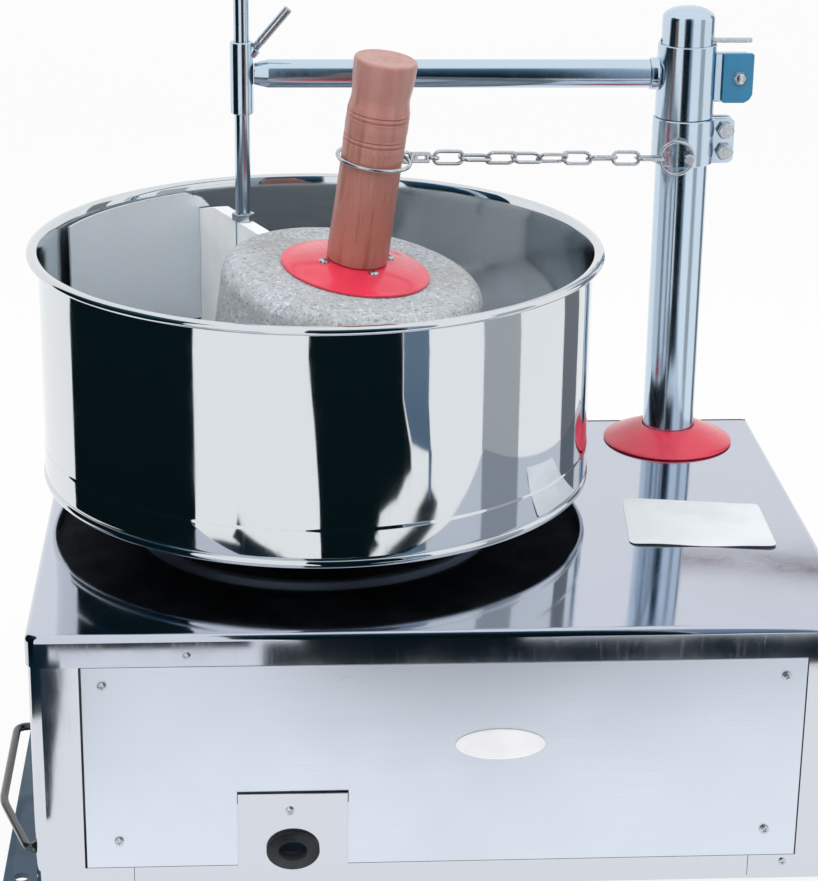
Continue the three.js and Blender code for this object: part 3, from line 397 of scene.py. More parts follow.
@dataclass(frozen=True)
class MirrorSteel(Finish):
    """Stainless sheet polished to a mirror: clear reflections, bent a little by the sheet's waves."""

    wave_mm: float = 90.0
    wave_depth: float = 0.05
    smear: float = 0.05

    def material(self) -> Material:
        """Builds the material."""
        material, tree, shader = self.start(1.0)
        where = self.place(tree)
        haze = noise(tree, where, 60.0, 5.0, 0.6)
        wipes = noise(tree, self.place(tree, (1.0, 1.0, 0.12)), 4.0, 3.0, 0.6)
        rough = spread(tree, haze, 0.35, 0.75, self.roughness, self.roughness + self.smear)
        extra = spread(tree, wipes, 0.55, 0.8, 0.0, self.smear * 0.8)
        tree.links.new(math_node(tree, "ADD", rough, extra), shader.inputs["Roughness"])
        waves = noise(tree, where, self.wave_mm, 1.0, 0.4)
        grains = noise(tree, where, 1.2, 2.0, 0.5)
        relief(tree, shader, [(waves, self.wave_depth), (grains, 0.0006), *self.bends(tree)])
        return material

    def bends(self, tree: NodeTree) -> list[tuple[NodeSocket, float]]:
        """Larger bends of the sheet, for a piece that has them.

        Args:
            tree: The material's tree; not used here.

        Returns:
            Height sockets with their depths.
        """
        return []


@dataclass(frozen=True)
class DeckSteel(MirrorSteel):
    """The deck's mirror: twisted a little by its folding, and sinking towards its left edge."""

    half: float = 300.0  # as far as the bends are drawn
    twist: float = 4.5e-5
    level_y: float = 137.0  # where the twist is level
    left: float = -258.0  # where the sinking starts
    edge: float = 100.0
    sink: float = 0.0022

    def bends(self, tree: NodeTree) -> list[tuple[NodeSocket, float]]:
        """The twist and the sinking edge.

        Args:
            tree: The material's tree.

        Returns:
            Height sockets with their depths, millimetres.
        """
        split = object_axes(tree)
        half = self.half
        across = spread(tree, split["X"], -half * MM, half * MM, -half, half)
        along = spread(tree, split["Y"], -half * MM, half * MM, -half - self.level_y, half - self.level_y)
        warp = math_node(tree, "MULTIPLY", across, along)
        start, end = (self.left - self.edge) * MM, self.left * MM
        past = spread(tree, split["X"], start, end, self.edge, 0.0)
        back = spread(tree, split["X"], start, end, -self.edge, 0.0)
        fall = math_node(tree, "MULTIPLY", past, back)
        return [(warp, self.twist), (fall, self.sink)]


@dataclass(frozen=True)
class BrushedSteel(Finish):
    """Stainless with a satin grain: fine lines along one axis stretch the highlights across it."""

    stretch: Point = (0.02, 1.0, 1.0)
    line_mm: float = 0.9
    line_depth: float = 0.004
    cloud_depth: float = 0.05

    def material(self) -> Material:
        """Builds the material."""
        material, tree, shader = self.start(1.0)
        # Real grain is about 0.1 mm; it is drawn coarser, as wide as it needs to show.
        lines = noise(tree, self.place(tree, self.stretch), self.line_mm, 3.0, 0.6)
        cloud = noise(tree, self.place(tree), 70.0, 4.0, 0.55)
        rough = spread(tree, lines, 0.3, 0.7, self.roughness - 0.04, self.roughness + 0.06)
        extra = spread(tree, cloud, 0.35, 0.7, -0.03, 0.05)
        tree.links.new(math_node(tree, "ADD", rough, extra), shader.inputs["Roughness"])
        relief(tree, shader, [(lines, self.line_depth), (cloud, self.cloud_depth)])
        return material


@dataclass(frozen=True)
class ZincPlate(Finish):
    """Bright zinc plating on fasteners: a slightly milky metal with faint spots."""

    spot: str = "8f969b"

    def material(self) -> Material:
        """Builds the material."""
        material, tree, shader = self.start(1.0)
        where = self.place(tree)
        spots = noise(tree, where, 3.0, 4.0, 0.6)
        spotted = patch(tree, self.colour, self.spot, spots, 0.4, 0.7, 0.3)
        tree.links.new(spotted, shader.inputs["Base Color"])
        self.roughen(tree, shader, spots, 0.06, 0.08)
        relief(tree, shader, [(noise(tree, where, 1.2, 2.0), 0.0015)])
        return material


@dataclass(frozen=True)
class CastIron(Finish):
    """Machined and blackened cast iron: dark, matt, with a sandy skin."""

    stain: str = "3a3633"

    def material(self) -> Material:
        """Builds the material."""
        material, tree, shader = self.start(0.7)
        where = self.place(tree)
        skin = noise(tree, where, 2.2, 6.0, 0.65)
        stains = noise(tree, where, 35.0, 4.0, 0.6)
        stained = patch(tree, self.colour, self.stain, stains, 0.45, 0.7, 0.7)
        tree.links.new(stained, shader.inputs["Base Color"])
        self.roughen(tree, shader, skin, 0.1, 0.12)
        relief(tree, shader, [(skin, 0.08)])
        return material


@dataclass(frozen=True)
class Granite(Finish):
    """Grey granite, bush-hammered: pale feldspar, grey quartz and black mica in grains of 2 to 5 mm."""

    pale: str = "c8cdd3"
    dark: str = "6e7172"
    cloud: str = "92948f"
    grain_mm: float = 2.0
    speck_mm: float = 1.3
    pit_depth: float = 0.16

    def material(self) -> Material:
        """Builds the material."""
        material, tree, shader = self.start(0.0)
        where = self.place(tree)
        bend = noise(tree, where, 5.0, 2.0)
        bent = add_node(
            tree,
            "ShaderNodeVectorMath",
            {"operation": "MULTIPLY_ADD", 1: (0.004, 0.004, 0.004)},
            {0: bend, 2: where},
        ).outputs["Vector"]
        grains = add_node(
            tree, "ShaderNodeTexVoronoi", {"Scale": 1 / (self.grain_mm * MM)}, {"Vector": bent}
        )
        tone = add_node(tree, "ShaderNodeSeparateColor", links={"Color": grains.outputs["Color"]})
        ramp = add_node(tree, "ShaderNodeValToRGB", links={"Fac": tone.outputs["Red"]})
        ramp_stops(
            ramp,
            [(0.0, "8b8e90"), (0.12, "a6a8a9"), (0.35, self.colour), (0.75, self.colour), (1.0, self.pale)],
        )
        fine = add_node(tree, "ShaderNodeTexVoronoi", {"Scale": 1 / (self.speck_mm * MM)}, {"Vector": bent})
        specks = add_node(tree, "ShaderNodeSeparateColor", links={"Color": fine.outputs["Color"]})
        speckled = patch(tree, ramp.outputs["Color"], self.dark, specks.outputs["Green"], 0.93, 0.96, 0.6)
        clouds = noise(tree, where, 45.0, 3.0, 0.6)
        tinted = patch(tree, speckled, self.cloud, clouds, 0.4, 0.75, 0.5)
        tree.links.new(tinted, shader.inputs["Base Color"])
        self.roughen(tree, shader, specks.outputs["Green"], 0.12, 0.1, 0.0, 1.0)
        pits = noise(tree, where, 2.4, 5.0, 0.65)
        relief(tree, shader, [(noise(tree, where, 14.0, 3.0), self.pit_depth), (pits, self.pit_depth)])
        return material


@dataclass(frozen=True)
class StovePaint(Finish):
    """Stove-enamelled steel: an even gloss coat with a faint orange peel and small scuffs."""

    coat: float = 0.5
    scuff: str = "8a8f92"
    scuff_from: float = 0.7
    shade: str = "1c1c20"
    peel_mm: float = 1.6

    def material(self) -> Material:
        """Builds the material."""
        material, tree, shader = self.start(0.0, Coat_Weight=self.coat, Coat_Roughness=0.08)
        where = self.place(tree)
        fade = noise(tree, where, 28.0, 3.0, 0.55)
        marks = noise(tree, where, 3.4, 6.0, 0.7)
        deep = patch(tree, self.colour, self.shade, fade, 0.35, 0.75, 0.16)
        worn = patch(tree, deep, self.scuff, marks, self.scuff_from, self.scuff_from + 0.06, 0.8)
        tree.links.new(worn, shader.inputs["Base Color"])
        self.roughen(tree, shader, fade, 0.05, 0.08)
        relief(tree, shader, [(noise(tree, where, self.peel_mm, 2.0), 0.02)])
        return material


@dataclass(frozen=True)
class TurnedWood(Finish):
    """Lathe-turned hardwood under thin varnish: long reddish grain, dark pores and faint tool rings."""

    light: str = "c78c77"
    dark: str = "7b4335"
    worn: str = "a27a76"
    stained: str = "ad5a45"
    pore: str = "6b3527"
    ring_mm: float = 2.2  # from the crest of a tool ring to its trough

    def material(self) -> Material:
        """Builds the material."""
        material, tree, shader = self.start(0.0, Coat_Weight=0.4, Coat_Roughness=0.2)
        along = self.place(tree, (1.0, 1.0, 0.07))
        figure = noise(tree, along, 7.0, 5.0, 0.6)
        ramp = add_node(tree, "ShaderNodeValToRGB", links={"Fac": figure})
        ramp_stops(ramp, [(0.3, self.dark), (0.46, self.colour), (0.62, self.colour), (0.78, self.light)])
        pores = noise(tree, self.place(tree, (1.0, 1.0, 0.045)), 1.1, 3.0, 0.7)
        pored = patch(tree, ramp.outputs["Color"], self.pore, pores, 0.58, 0.75, 0.55)
        handled = noise(tree, self.place(tree), 30.0, 3.0)
        patched = patch(tree, pored, self.light, handled, 0.5, 0.75, 0.35)
        height = add_node(tree, "ShaderNodeSeparateXYZ", links={0: self.place(tree)}).outputs["Z"]
        # The upper half is mixed towards a paler, greyer pink and the foot towards a darker red-brown.
        worn = patch(tree, patched, self.worn, height, 0.02, 0.12, 0.5)
        foot_share = spread(tree, height, -0.02, 0.04, 0.55, 0.0)
        stain = math_node(tree, "MULTIPLY", foot_share, spread(tree, handled, 0.4, 0.6, 0.2, 1.0))
        tree.links.new(blend(tree, stain, worn, self.stained), shader.inputs["Base Color"])
        self.roughen(tree, shader, handled, 0.1, 0.1, 0.35)
        rings = add_node(
            tree,
            "ShaderNodeTexWave",
            {"bands_direction": "Z", "Scale": 1 / (self.ring_mm * MM) / 20 * math.pi, "Distortion": 0.6},
            {"Vector": self.place(tree)},
        )
        relief(tree, shader, [(rings.outputs["Fac"], 0.03), (pores, 0.12)])
        return material


@dataclass(frozen=True)
class MouldedPlastic(Finish):
    """Cut nylon board or moulded plastic: a soft satin with fine knife marks."""

    glow: float = 0.0
    shine: float = 0.5
    mark_mm: float = 1.4
    mark_depth: float = 0.02
    tint: str = "8c9398"

    def material(self) -> Material:
        """Builds the material."""
        material, tree, shader = self.start(
            0.0, Subsurface_Weight=self.glow, Subsurface_Scale=0.004, Specular_IOR_Level=self.shine
        )
        where = self.place(tree)
        marks = noise(tree, self.place(tree, (1.0, 1.0, 0.15)), self.mark_mm, 4.0, 0.6)
        cloud = noise(tree, where, 40.0, 3.0)
        tinted = patch(tree, self.colour, self.tint, cloud, 0.4, 0.75, 0.18)
        tree.links.new(tinted, shader.inputs["Base Color"])
        self.roughen(tree, shader, marks, 0.08, 0.1)
        relief(tree, shader, [(marks, self.mark_depth)])
        return material


# Mesh tools


def arc(centre: Flat, radii: Flat, start: float, end: float, steps: int) -> list[Flat]:
    """Points on an elliptical arc.

    Args:
        centre: Its centre.
        radii: Half axes.
        start: First angle, degrees.
        end: Last angle, degrees.
        steps: Number of stretches.

    Returns:
        The points.
    """
    angles = [math.radians(start + (end - start) * i / steps) for i in range(steps + 1)]
    return [(centre[0] + radii[0] * math.cos(a), centre[1] + radii[1] * math.sin(a)) for a in angles]


def turned(profile: Profile, steps: int = 96, closed: bool = False) -> BMesh:
    """Spins a profile of (radius, height) about Z.

    Args:
        profile: Points up the outside.
        steps: Sides.
        closed: True if the profile's last point joins its first.

    Returns:
        The closed shape.
    """
    bm = bmesh.new()
    verts = [bm.verts.new((r, 0.0, z)) for r, z in profile]
    edges = [bm.edges.new(pair) for pair in zip(verts, verts[1:])]
    if closed:
        edges.append(bm.edges.new((verts[-1], verts[0])))
    bmesh.ops.spin(
        bm,
        geom=verts + edges,
        cent=(0, 0, 0),
        axis=(0, 0, 1),
        angle=math.tau,
        steps=steps,
        use_merge=True,
        use_normal_flip=False,
        use_duplicate=False,
    )
    return tidy(bm)


def tidy(bm: BMesh, near: float = 0.001) -> BMesh:
    """Merges doubles, drops loose edges and points the faces outwards.

    Args:
        bm: The shape.
        near: Distance under which points are one.

    Returns:
        The same shape.
    """
    bmesh.ops.remove_doubles(bm, verts=bm.verts[:], dist=near)
    loose = [e for e in bm.edges if not e.link_faces]
    bmesh.ops.delete(bm, geom=loose, context="EDGES")
    bmesh.ops.recalc_face_normals(bm, faces=bm.faces[:])
    return bm


def block(low: Point, high: Point) -> BMesh:
    """Makes a block.

    Args:
        low: Its corner with the smallest coordinates.
        high: The opposite corner.

    Returns:
        The shape.
    """
    bm = bmesh.new()
    bmesh.ops.create_cube(bm, size=1.0)
    size = [h - l for l, h in zip(low, high)]
    bmesh.ops.scale(bm, vec=size, verts=bm.verts[:])
    bmesh.ops.translate(bm, vec=[(l + h) / 2 for l, h in zip(low, high)], verts=bm.verts[:])
    return bm


def round_edges(
    bm: BMesh, edges: Sequence[BMEdge], width: float, segments: int, profile: float = 0.5
) -> None:
    """Rounds some edges of a shape.

    Args:
        bm: The shape.
        edges: Its edges; those that an earlier call took away are skipped.
        width: Bevel width.
        segments: Steps round each edge.
        profile: 0.5 for a round, less for a flatter one.
    """
    left = [e for e in edges if e.is_valid]
    bmesh.ops.bevel(
        bm, geom=left, offset=width, segments=segments, profile=profile, affect="EDGES", material=-1
    )


def rod(path: Sequence[Vector], radius: float, sides: int = 20, closed: bool = False) -> BMesh:
    """A round section carried along a path.

    Args:
        path: Points of its centre line.
        radius: Its radius.
        sides: Sides of the section.
        closed: True for a loop that lies in one plane.

    Returns:
        The closed shape.
    """
    points = [Vector(p) for p in path]
    count = len(points)
    tangents = []
    for i in range(count):
        before = points[i - 1] if i or closed else points[i]
        after = points[(i + 1) % count] if i + 1 < count or closed else points[i]
        tangents.append((after - before).normalized())
    bm = bmesh.new()
    ring = bmesh.ops.create_circle(bm, cap_ends=not closed, segments=sides, radius=radius)["verts"]
    turn = UP.rotation_difference(tangents[0]).to_matrix()
    bmesh.ops.rotate(bm, cent=(0, 0, 0), matrix=turn, verts=ring)
    bmesh.ops.translate(bm, vec=points[0], verts=ring)
    edges = bm.edges[:]
    order = list(range(1, count)) + ([0] if closed else [])
    last = 0
    for i in order:
        made = bmesh.ops.extrude_edge_only(bm, edges=edges)["geom"]
        ring = [g for g in made if isinstance(g, BMVert)]
        edges = [g for g in made if isinstance(g, BMEdge) and all(v in ring for v in g.verts)]
        bmesh.ops.translate(bm, vec=points[i] - points[last], verts=ring)
        turn = tangents[last].rotation_difference(tangents[i]).to_matrix()
        bmesh.ops.rotate(bm, cent=points[i], matrix=turn, verts=ring)
        last = i
    if not closed:
        bmesh.ops.contextual_create(bm, geom=edges)
    return tidy(bm)


def bent(points: Sequence[Vector], bends: Sequence[float], steps: int = 8) -> list[Vector]:
    """A path through corners with a rounded bend at each inner one.

    Args:
        points: The corners.
        bends: Length that each bend takes of its two stretches.
        steps: Stretches in each bend.

    Returns:
        The path.
    """
    path = [points[0]]
    for before, corner, after, size in zip(points, points[1:], points[2:], bends):
        start = corner + (before - corner).normalized() * size
        end = corner + (after - corner).normalized() * size
        for i in range(steps + 1):
            t = i / steps
            path.append(start * (1 - t) ** 2 + corner * 2 * t * (1 - t) + end * t**2)
    path.append(points[-1])
    return path


def tube_wall(
    bore: float, radius: float, low: float, high: float, chamfer: float = 0.7, land: float = 3.0
) -> Profile:
    """The profile of a short tube with chamfered ends, for turned() with closed=True.

    Args:
        bore: Inner radius.
        radius: Outer radius.
        low: Foot.
        high: Top.
        chamfer: Chamfer at both ends.
        land: Height of the narrow band next to each chamfer.

    Returns:
        The profile.
    """
    foot = [(bore, low), (radius - chamfer, low), (radius, low + chamfer), (radius, low + land)]
    return [*foot, (radius, high - land), (radius, high - chamfer), (radius - chamfer, high), (bore, high)]


def torus(radius: float, wire: float, steps: int = 72, sides: int = 14) -> BMesh:
    """Makes a wire ring about Z.

    Args:
        radius: Radius of the wire's middle.
        wire: The wire's own radius.
        steps: Sides round the ring.
        sides: Sides of the wire.

    Returns:
        The shape.
    """
    section = arc((radius, 0.0), (wire, wire), 0.0, 360.0 * (1 - 1 / sides), sides - 1)
    return turned(section, steps, closed=True)


def put(bm: BMesh, matrix: Matrix) -> BMesh:
    """Moves a shape.

    Args:
        bm: The shape.
        matrix: Where it goes.

    Returns:
        The same shape.
    """
    bmesh.ops.transform(bm, matrix=matrix, verts=bm.verts[:])
    return bm


def leaning(place: Vector, direction: Vector) -> Matrix:
    """A frame whose Z leans.

    Args:
        place: Its origin.
        direction: Where its Z points.

    Returns:
        The matrix from that frame to the part's.
    """
    return Matrix.Translation(place) @ UP.rotation_difference(direction).to_matrix().to_4x4()


def moved(bm: BMesh, x: float = 0.0, y: float = 0.0, z: float = 0.0) -> BMesh:
    """Shifts a shape.

    Args:
        bm: The shape.
        x: How far along X.
        y: How far along Y.
        z: How far along Z.

    Returns:
        The same shape.
    """
    return put(bm, Matrix.Translation((x, y, z)))


def joined(*shapes: BMesh) -> BMesh:
    """Puts several shapes in one mesh.

    Args:
        *shapes: The shapes; all but the first are freed.

    Returns:
        The first shape, with the others in it.
    """
    whole = shapes[0]
    for shape in shapes[1:]:
        carrier = bpy.data.meshes.new("carrier")
        shape.to_mesh(carrier)
        shape.free()
        whole.from_mesh(carrier)
        bpy.data.meshes.remove(carrier)
    return whole


FRONT = Matrix.Rotation(math.radians(90), 4, "X")  # +Z swings to -Y
RIGHT = Matrix.Rotation(math.radians(90), 4, "Y")  # +Z swings to +X
LEFT = Matrix.Rotation(math.radians(-90), 4, "Y")  # +Z swings to -X
OVAL = Matrix.Diagonal((1.0, 0.76, 1.0, 1.0))  # height over width of the grommet


def add_piece(
    name: str,
    bm: BMesh,
    coat: Coat,
    body: Body,
    stands_for: Sequence[str] = (),
    bevel: float = 0.0,
    segments: int = 2,
    smooth_under: float = 40.0,
    sheet: float = 0.0,
) -> Object:
    """Turns a shape into a piece of the object.

    Args:
        name: The piece's name.
        bm: Its shape in millimetres; it is freed.
        coat: Its material and slot.
        body: The body it rides on.
        stands_for: CAD nodes that it replaces.
        bevel: Width of a live Bevel on its sharp edges, millimetres.
        segments: That bevel's steps.
        smooth_under: Edges that turn by more than this, in degrees, stay sharp.
        sheet: Thickness of a live Solidify, inwards, millimetres.

    Returns:
        The object.
    """
    material, slot = coat.material, coat.slot
    bmesh.ops.scale(bm, vec=(MM, MM, MM), verts=bm.verts[:])
    for face in bm.faces:
        face.smooth = True
    for edge in bm.edges:
        edge.smooth = len(edge.link_faces) == 2 and edge.calc_face_angle(0) < math.radians(smooth_under)
    mesh = bpy.data.meshes.new(name)
    bm.to_mesh(mesh)
    bm.free()
    mesh.materials.append(material)
    made = bpy.data.objects.new(name, mesh)
    bpy.context.scene.collection.objects.link(made)
    if sheet:
        wall = made.modifiers.new("sheet", "SOLIDIFY")
        wall.thickness = sheet * MM
        wall.offset = -1.0
    if bevel:
        rounding = made.modifiers.new("edges", "BEVEL")
        rounding.width = bevel * MM
        rounding.segments = segments
        rounding.limit_method = "ANGLE"
        rounding.angle_limit = math.radians(smooth_under)
        rounding.harden_normals = True
    # Large flat faces keep their own direction, so that their reflections stay straight.
    flat = made.modifiers.new("flat_faces", "WEIGHTED_NORMAL")
    flat.keep_sharp = True
    flat.weight = 60
    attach(made, body.value)
    if stands_for:
        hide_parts(*stands_for)
    log.info("%s: %d faces", name, len(mesh.polygons))
    return made


def cut_by(bm: BMesh, *cutters: BMesh) -> BMesh:
    """Takes cutters out of a shape.

    Args:
        bm: The shape; it is freed.
        *cutters: Closed shapes; they are freed.

    Returns:
        The shape that is left.
    """
    carriers = []
    for shape in (bm, *cutters):
        mesh = bpy.data.meshes.new("carrier")
        shape.to_mesh(mesh)
        shape.free()
        carrier = bpy.data.objects.new("carrier", mesh)
        bpy.context.scene.collection.objects.link(carrier)
        carriers.append(carrier)
    for cutter in carriers[1:]:
        cut = carriers[0].modifiers.new("cut", "BOOLEAN")
        cut.operation = "DIFFERENCE"
        cut.solver = "EXACT"
        cut.object = cutter
    left = bmesh.new()
    left.from_object(carriers[0], bpy.context.evaluated_depsgraph_get())
    for carrier in carriers:
        mesh = carrier.data
        bpy.data.objects.remove(carrier)
        bpy.data.meshes.remove(mesh)
    return left


def copy_of(node: Object, near: float = 0.01, flat: float = 1.0) -> BMesh:
    """Copies a CAD node's shape.

    Args:
        node: The CAD node.
        near: Distance under which points are one, millimetres.
        flat: Faces that meet at less than this, in degrees, become one.

    Returns:
        The shape in millimetres, merged and with its flat faces whole.
    """
    bm = bmesh.new()
    bm.from_mesh(node.data)
    bmesh.ops.scale(bm, vec=(1 / MM, 1 / MM, 1 / MM), verts=bm.verts[:])
    bmesh.ops.remove_doubles(bm, verts=bm.verts[:], dist=near)
    bmesh.ops.dissolve_limit(bm, angle_limit=math.radians(flat), verts=bm.verts[:], edges=bm.edges[:])
    return bm


def machine_screw(head: float, high: float, dome: float = 0.5) -> BMesh:
    """A pan head with a cross recess, seated at zero and facing +Z.

    Args:
        head: Head radius.
        high: Head height.
        dome: Share of the height that is domed.

    Returns:
        The shape.
    """
    foot = high * (1 - dome)
    crown = arc((0.0, foot), (head, high - foot), 0.0, 90.0, 6)
    shank = [(0.0, -1.0), (head * 0.45, -1.0), (head * 0.45, 0.0)]
    shape = turned([*shank, (head, 0.0), *crown[:-1], (0.0, high)], 28)
    reach, width = head * 0.55, head * 0.13
    slot = block((-reach, -width, high * 0.35), (reach, width, high * 2))
    cross = block((-width, -reach, high * 0.35), (width, reach, high * 2))
    return cut_by(shape, slot, cross)


# The machine


@dataclass(frozen=True)
class Datum:
    """Places that several sub-assemblies share."""

    drum_x: float = -82.0
    drum_y: float = 27.8
    pillar_x: float = 209.5
    pillar_y: float = 137.5
    rod_x: float = -137.0
    deck: float = 200.0  # the deck's top
    front: float = -234.2  # the walls' front face
    back: float = 184.8  # the walls' back face
    half: float = 284.0  # half of the walls' width
    fit: float = 0.3  # clearance between neighbouring pieces
    sheet: float = 1.2  # thickness of the deck and the walls


@dataclass(frozen=True)
class Coat:
    """A material, and the record's slot for it."""

    material: Material
    slot: Slot


Palette = dict[str, Coat]

FINISHES: dict[str, tuple[Finish, Slot]] = {
    # Stainless, buffed to a mirror after drawing: near-black to white reflections with soft waves.
    "drum": (
        MirrorSteel(
            "mirror_polished_stainless_drum", "d9dee2", 0.03, wave_mm=90.0, wave_depth=0.16, smear=0.04
        ),
        Slot.POLISHED,
    ),
    "mirror": (
        MirrorSteel("mirror_polished_stainless_sheet", "d4d8e0", 0.05, wave_mm=120.0, wave_depth=0.08),
        Slot.POLISHED,
    ),
    "deck": (
        DeckSteel("mirror_polished_stainless_deck", "c6ccd9", 0.05, wave_mm=120.0, wave_depth=0.08),
        Slot.POLISHED,
    ),
    # The drum's inside is polished too, but batter and water have dulled it; its steel is also darker than
    # outside, painted shade in the drum's hollow.
    "inside": (
        MirrorSteel("dulled_and_shaded_stainless_inside", "d0d7dc", 0.07, wave_mm=45.0, wave_depth=0.16, smear=0.1),
        Slot.POLISHED,
    ),
    # Black and quite matt under the drum's pan, so the deck mirrors it as black: painted shade of the
    # drum's underside.
    "pan_shade": (
        MouldedPlastic("black_painted_pan_shade", "07090b", 0.8, mark_mm=3.0, mark_depth=0.05), Slot.RUBBER
    ),
    "turned": (
        BrushedSteel(
            "turned_steel_rim", "c6d2df", 0.55, stretch=(1.0, 1.0, 0.2), line_mm=0.6, line_depth=0.002
        ),
        Slot.IRON,
    ),
    # Chromed tube: cooler and cleaner than the sheet.
    "tube": (
        MirrorSteel("chromed_steel_tube", "c8d9e8", 0.13, wave_mm=60.0, wave_depth=0.02, smear=0.06),
        Slot.POLISHED,
    ),
    # The removable panel's sheet is dull polished, so it only takes the light's broad tones.
    "panel": (
        BrushedSteel(
            "satin_stainless_panel",
            "dee6f2",
            0.33,
            stretch=(0.01, 1.0, 1.0),
            line_mm=0.6,
            line_depth=0.0005,
        ),
        Slot.POLISHED,
    ),
    "brushed": (BrushedSteel("satin_stainless", "c9d0d6", 0.32, stretch=(1.0, 1.0, 0.03)), Slot.BRUSHED),
    # The guide plate's steel is paler than the other satin steel: painted light for a plate inside the
    # drum.
    "guide": (BrushedSteel("lit_satin_stainless_guide", "eef3f7", 0.5, stretch=(1.0, 1.0, 0.03)), Slot.BRUSHED),
    "zinc": (ZincPlate("bright_zinc_plate", "cdd2d6", 0.24), Slot.ZINC),
    "iron": (CastIron("blackened_cast_iron", "1b1e20", 0.5), Slot.IRON),
    "stone": (Granite("bush_hammered_granite", "abb1b8", 0.78), Slot.GRANITE),
    # Stove-enamelled steel discs: a bright pinkish red with a soft gloss.
    "red": (StovePaint("red_stove_enamel", "dc2f4b", 0.3, scuff="f3a9ae", scuff_from=0.74), Slot.RED),
    "blue": (StovePaint("blue_bracket_paint", "14759e", 0.32, scuff="a9b6bd", scuff_from=0.7), Slot.BLUE),
    "frame_blue": (
        StovePaint("grey_blue_frame_paint", "35536b", 0.45, coat=0.25, scuff="8e999f", scuff_from=0.68),
        Slot.BLUE,
    ),
    "black": (
        StovePaint("black_stove_enamel", "101c20", 0.24, coat=0.8, scuff="4d565a", scuff_from=0.76),
        Slot.BLACK,
    ),
    "motor": (StovePaint("grey_motor_enamel", "56616b", 0.45, coat=0.2, scuff="9aa2a8"), Slot.MOTOR),
    "nylon": (MouldedPlastic("cut_nylon_board", "f6f9fb", 0.42, glow=0.15), Slot.NYLON),
    "rubber": (
        MouldedPlastic("moulded_black_rubber", "07090b", 0.5, shine=0.2, mark_depth=0.01), Slot.RUBBER
    ),
    "enamel": (
        MouldedPlastic("white_vitreous_enamel", "e8e7e9", 0.3, mark_mm=60.0, mark_depth=0.001), Slot.ENAMEL
    ),
    "label": (
        MouldedPlastic("white_vinyl_label", "dde1e5", 0.45, mark_mm=9.0, mark_depth=0.25), Slot.ENAMEL
    ),
}


def wood_along(axis: Matrix) -> Coat:
    """Wood with its grain along the handle's own axis.

    Args:
        axis: The handle's place, millimetres.

    Returns:
        The coat.
    """
    centre = tuple(axis.translation * MM)
    turn = tuple(axis.to_euler())
    wood = TurnedWood("turned_varnished_hardwood", "ab7064", 0.42, turn, centre)
    return Coat(wood.material(), Slot.WOOD)


@dataclass
class Assembly:
    """What the sub-assemblies share: the common places and the finishes."""

    at: Datum
    paint: Palette

    def add(
        self, name: str, bm: BMesh, finish: str, body: Body, stands_for: Sequence[str] = (), **look: float
    ) -> Object:
        """Adds a piece in one of the finishes.

        Args:
            name: The piece's name.
            bm: Its shape in millimetres; it is freed.
            finish: The finish's key.
            body: The body it rides on.
            stands_for: CAD nodes that it replaces.
            **look: What add_piece() takes for its edges and its sheet.

        Returns:
            The object.
        """
        return add_piece(name, bm, self.paint[finish], body, stands_for, **look)


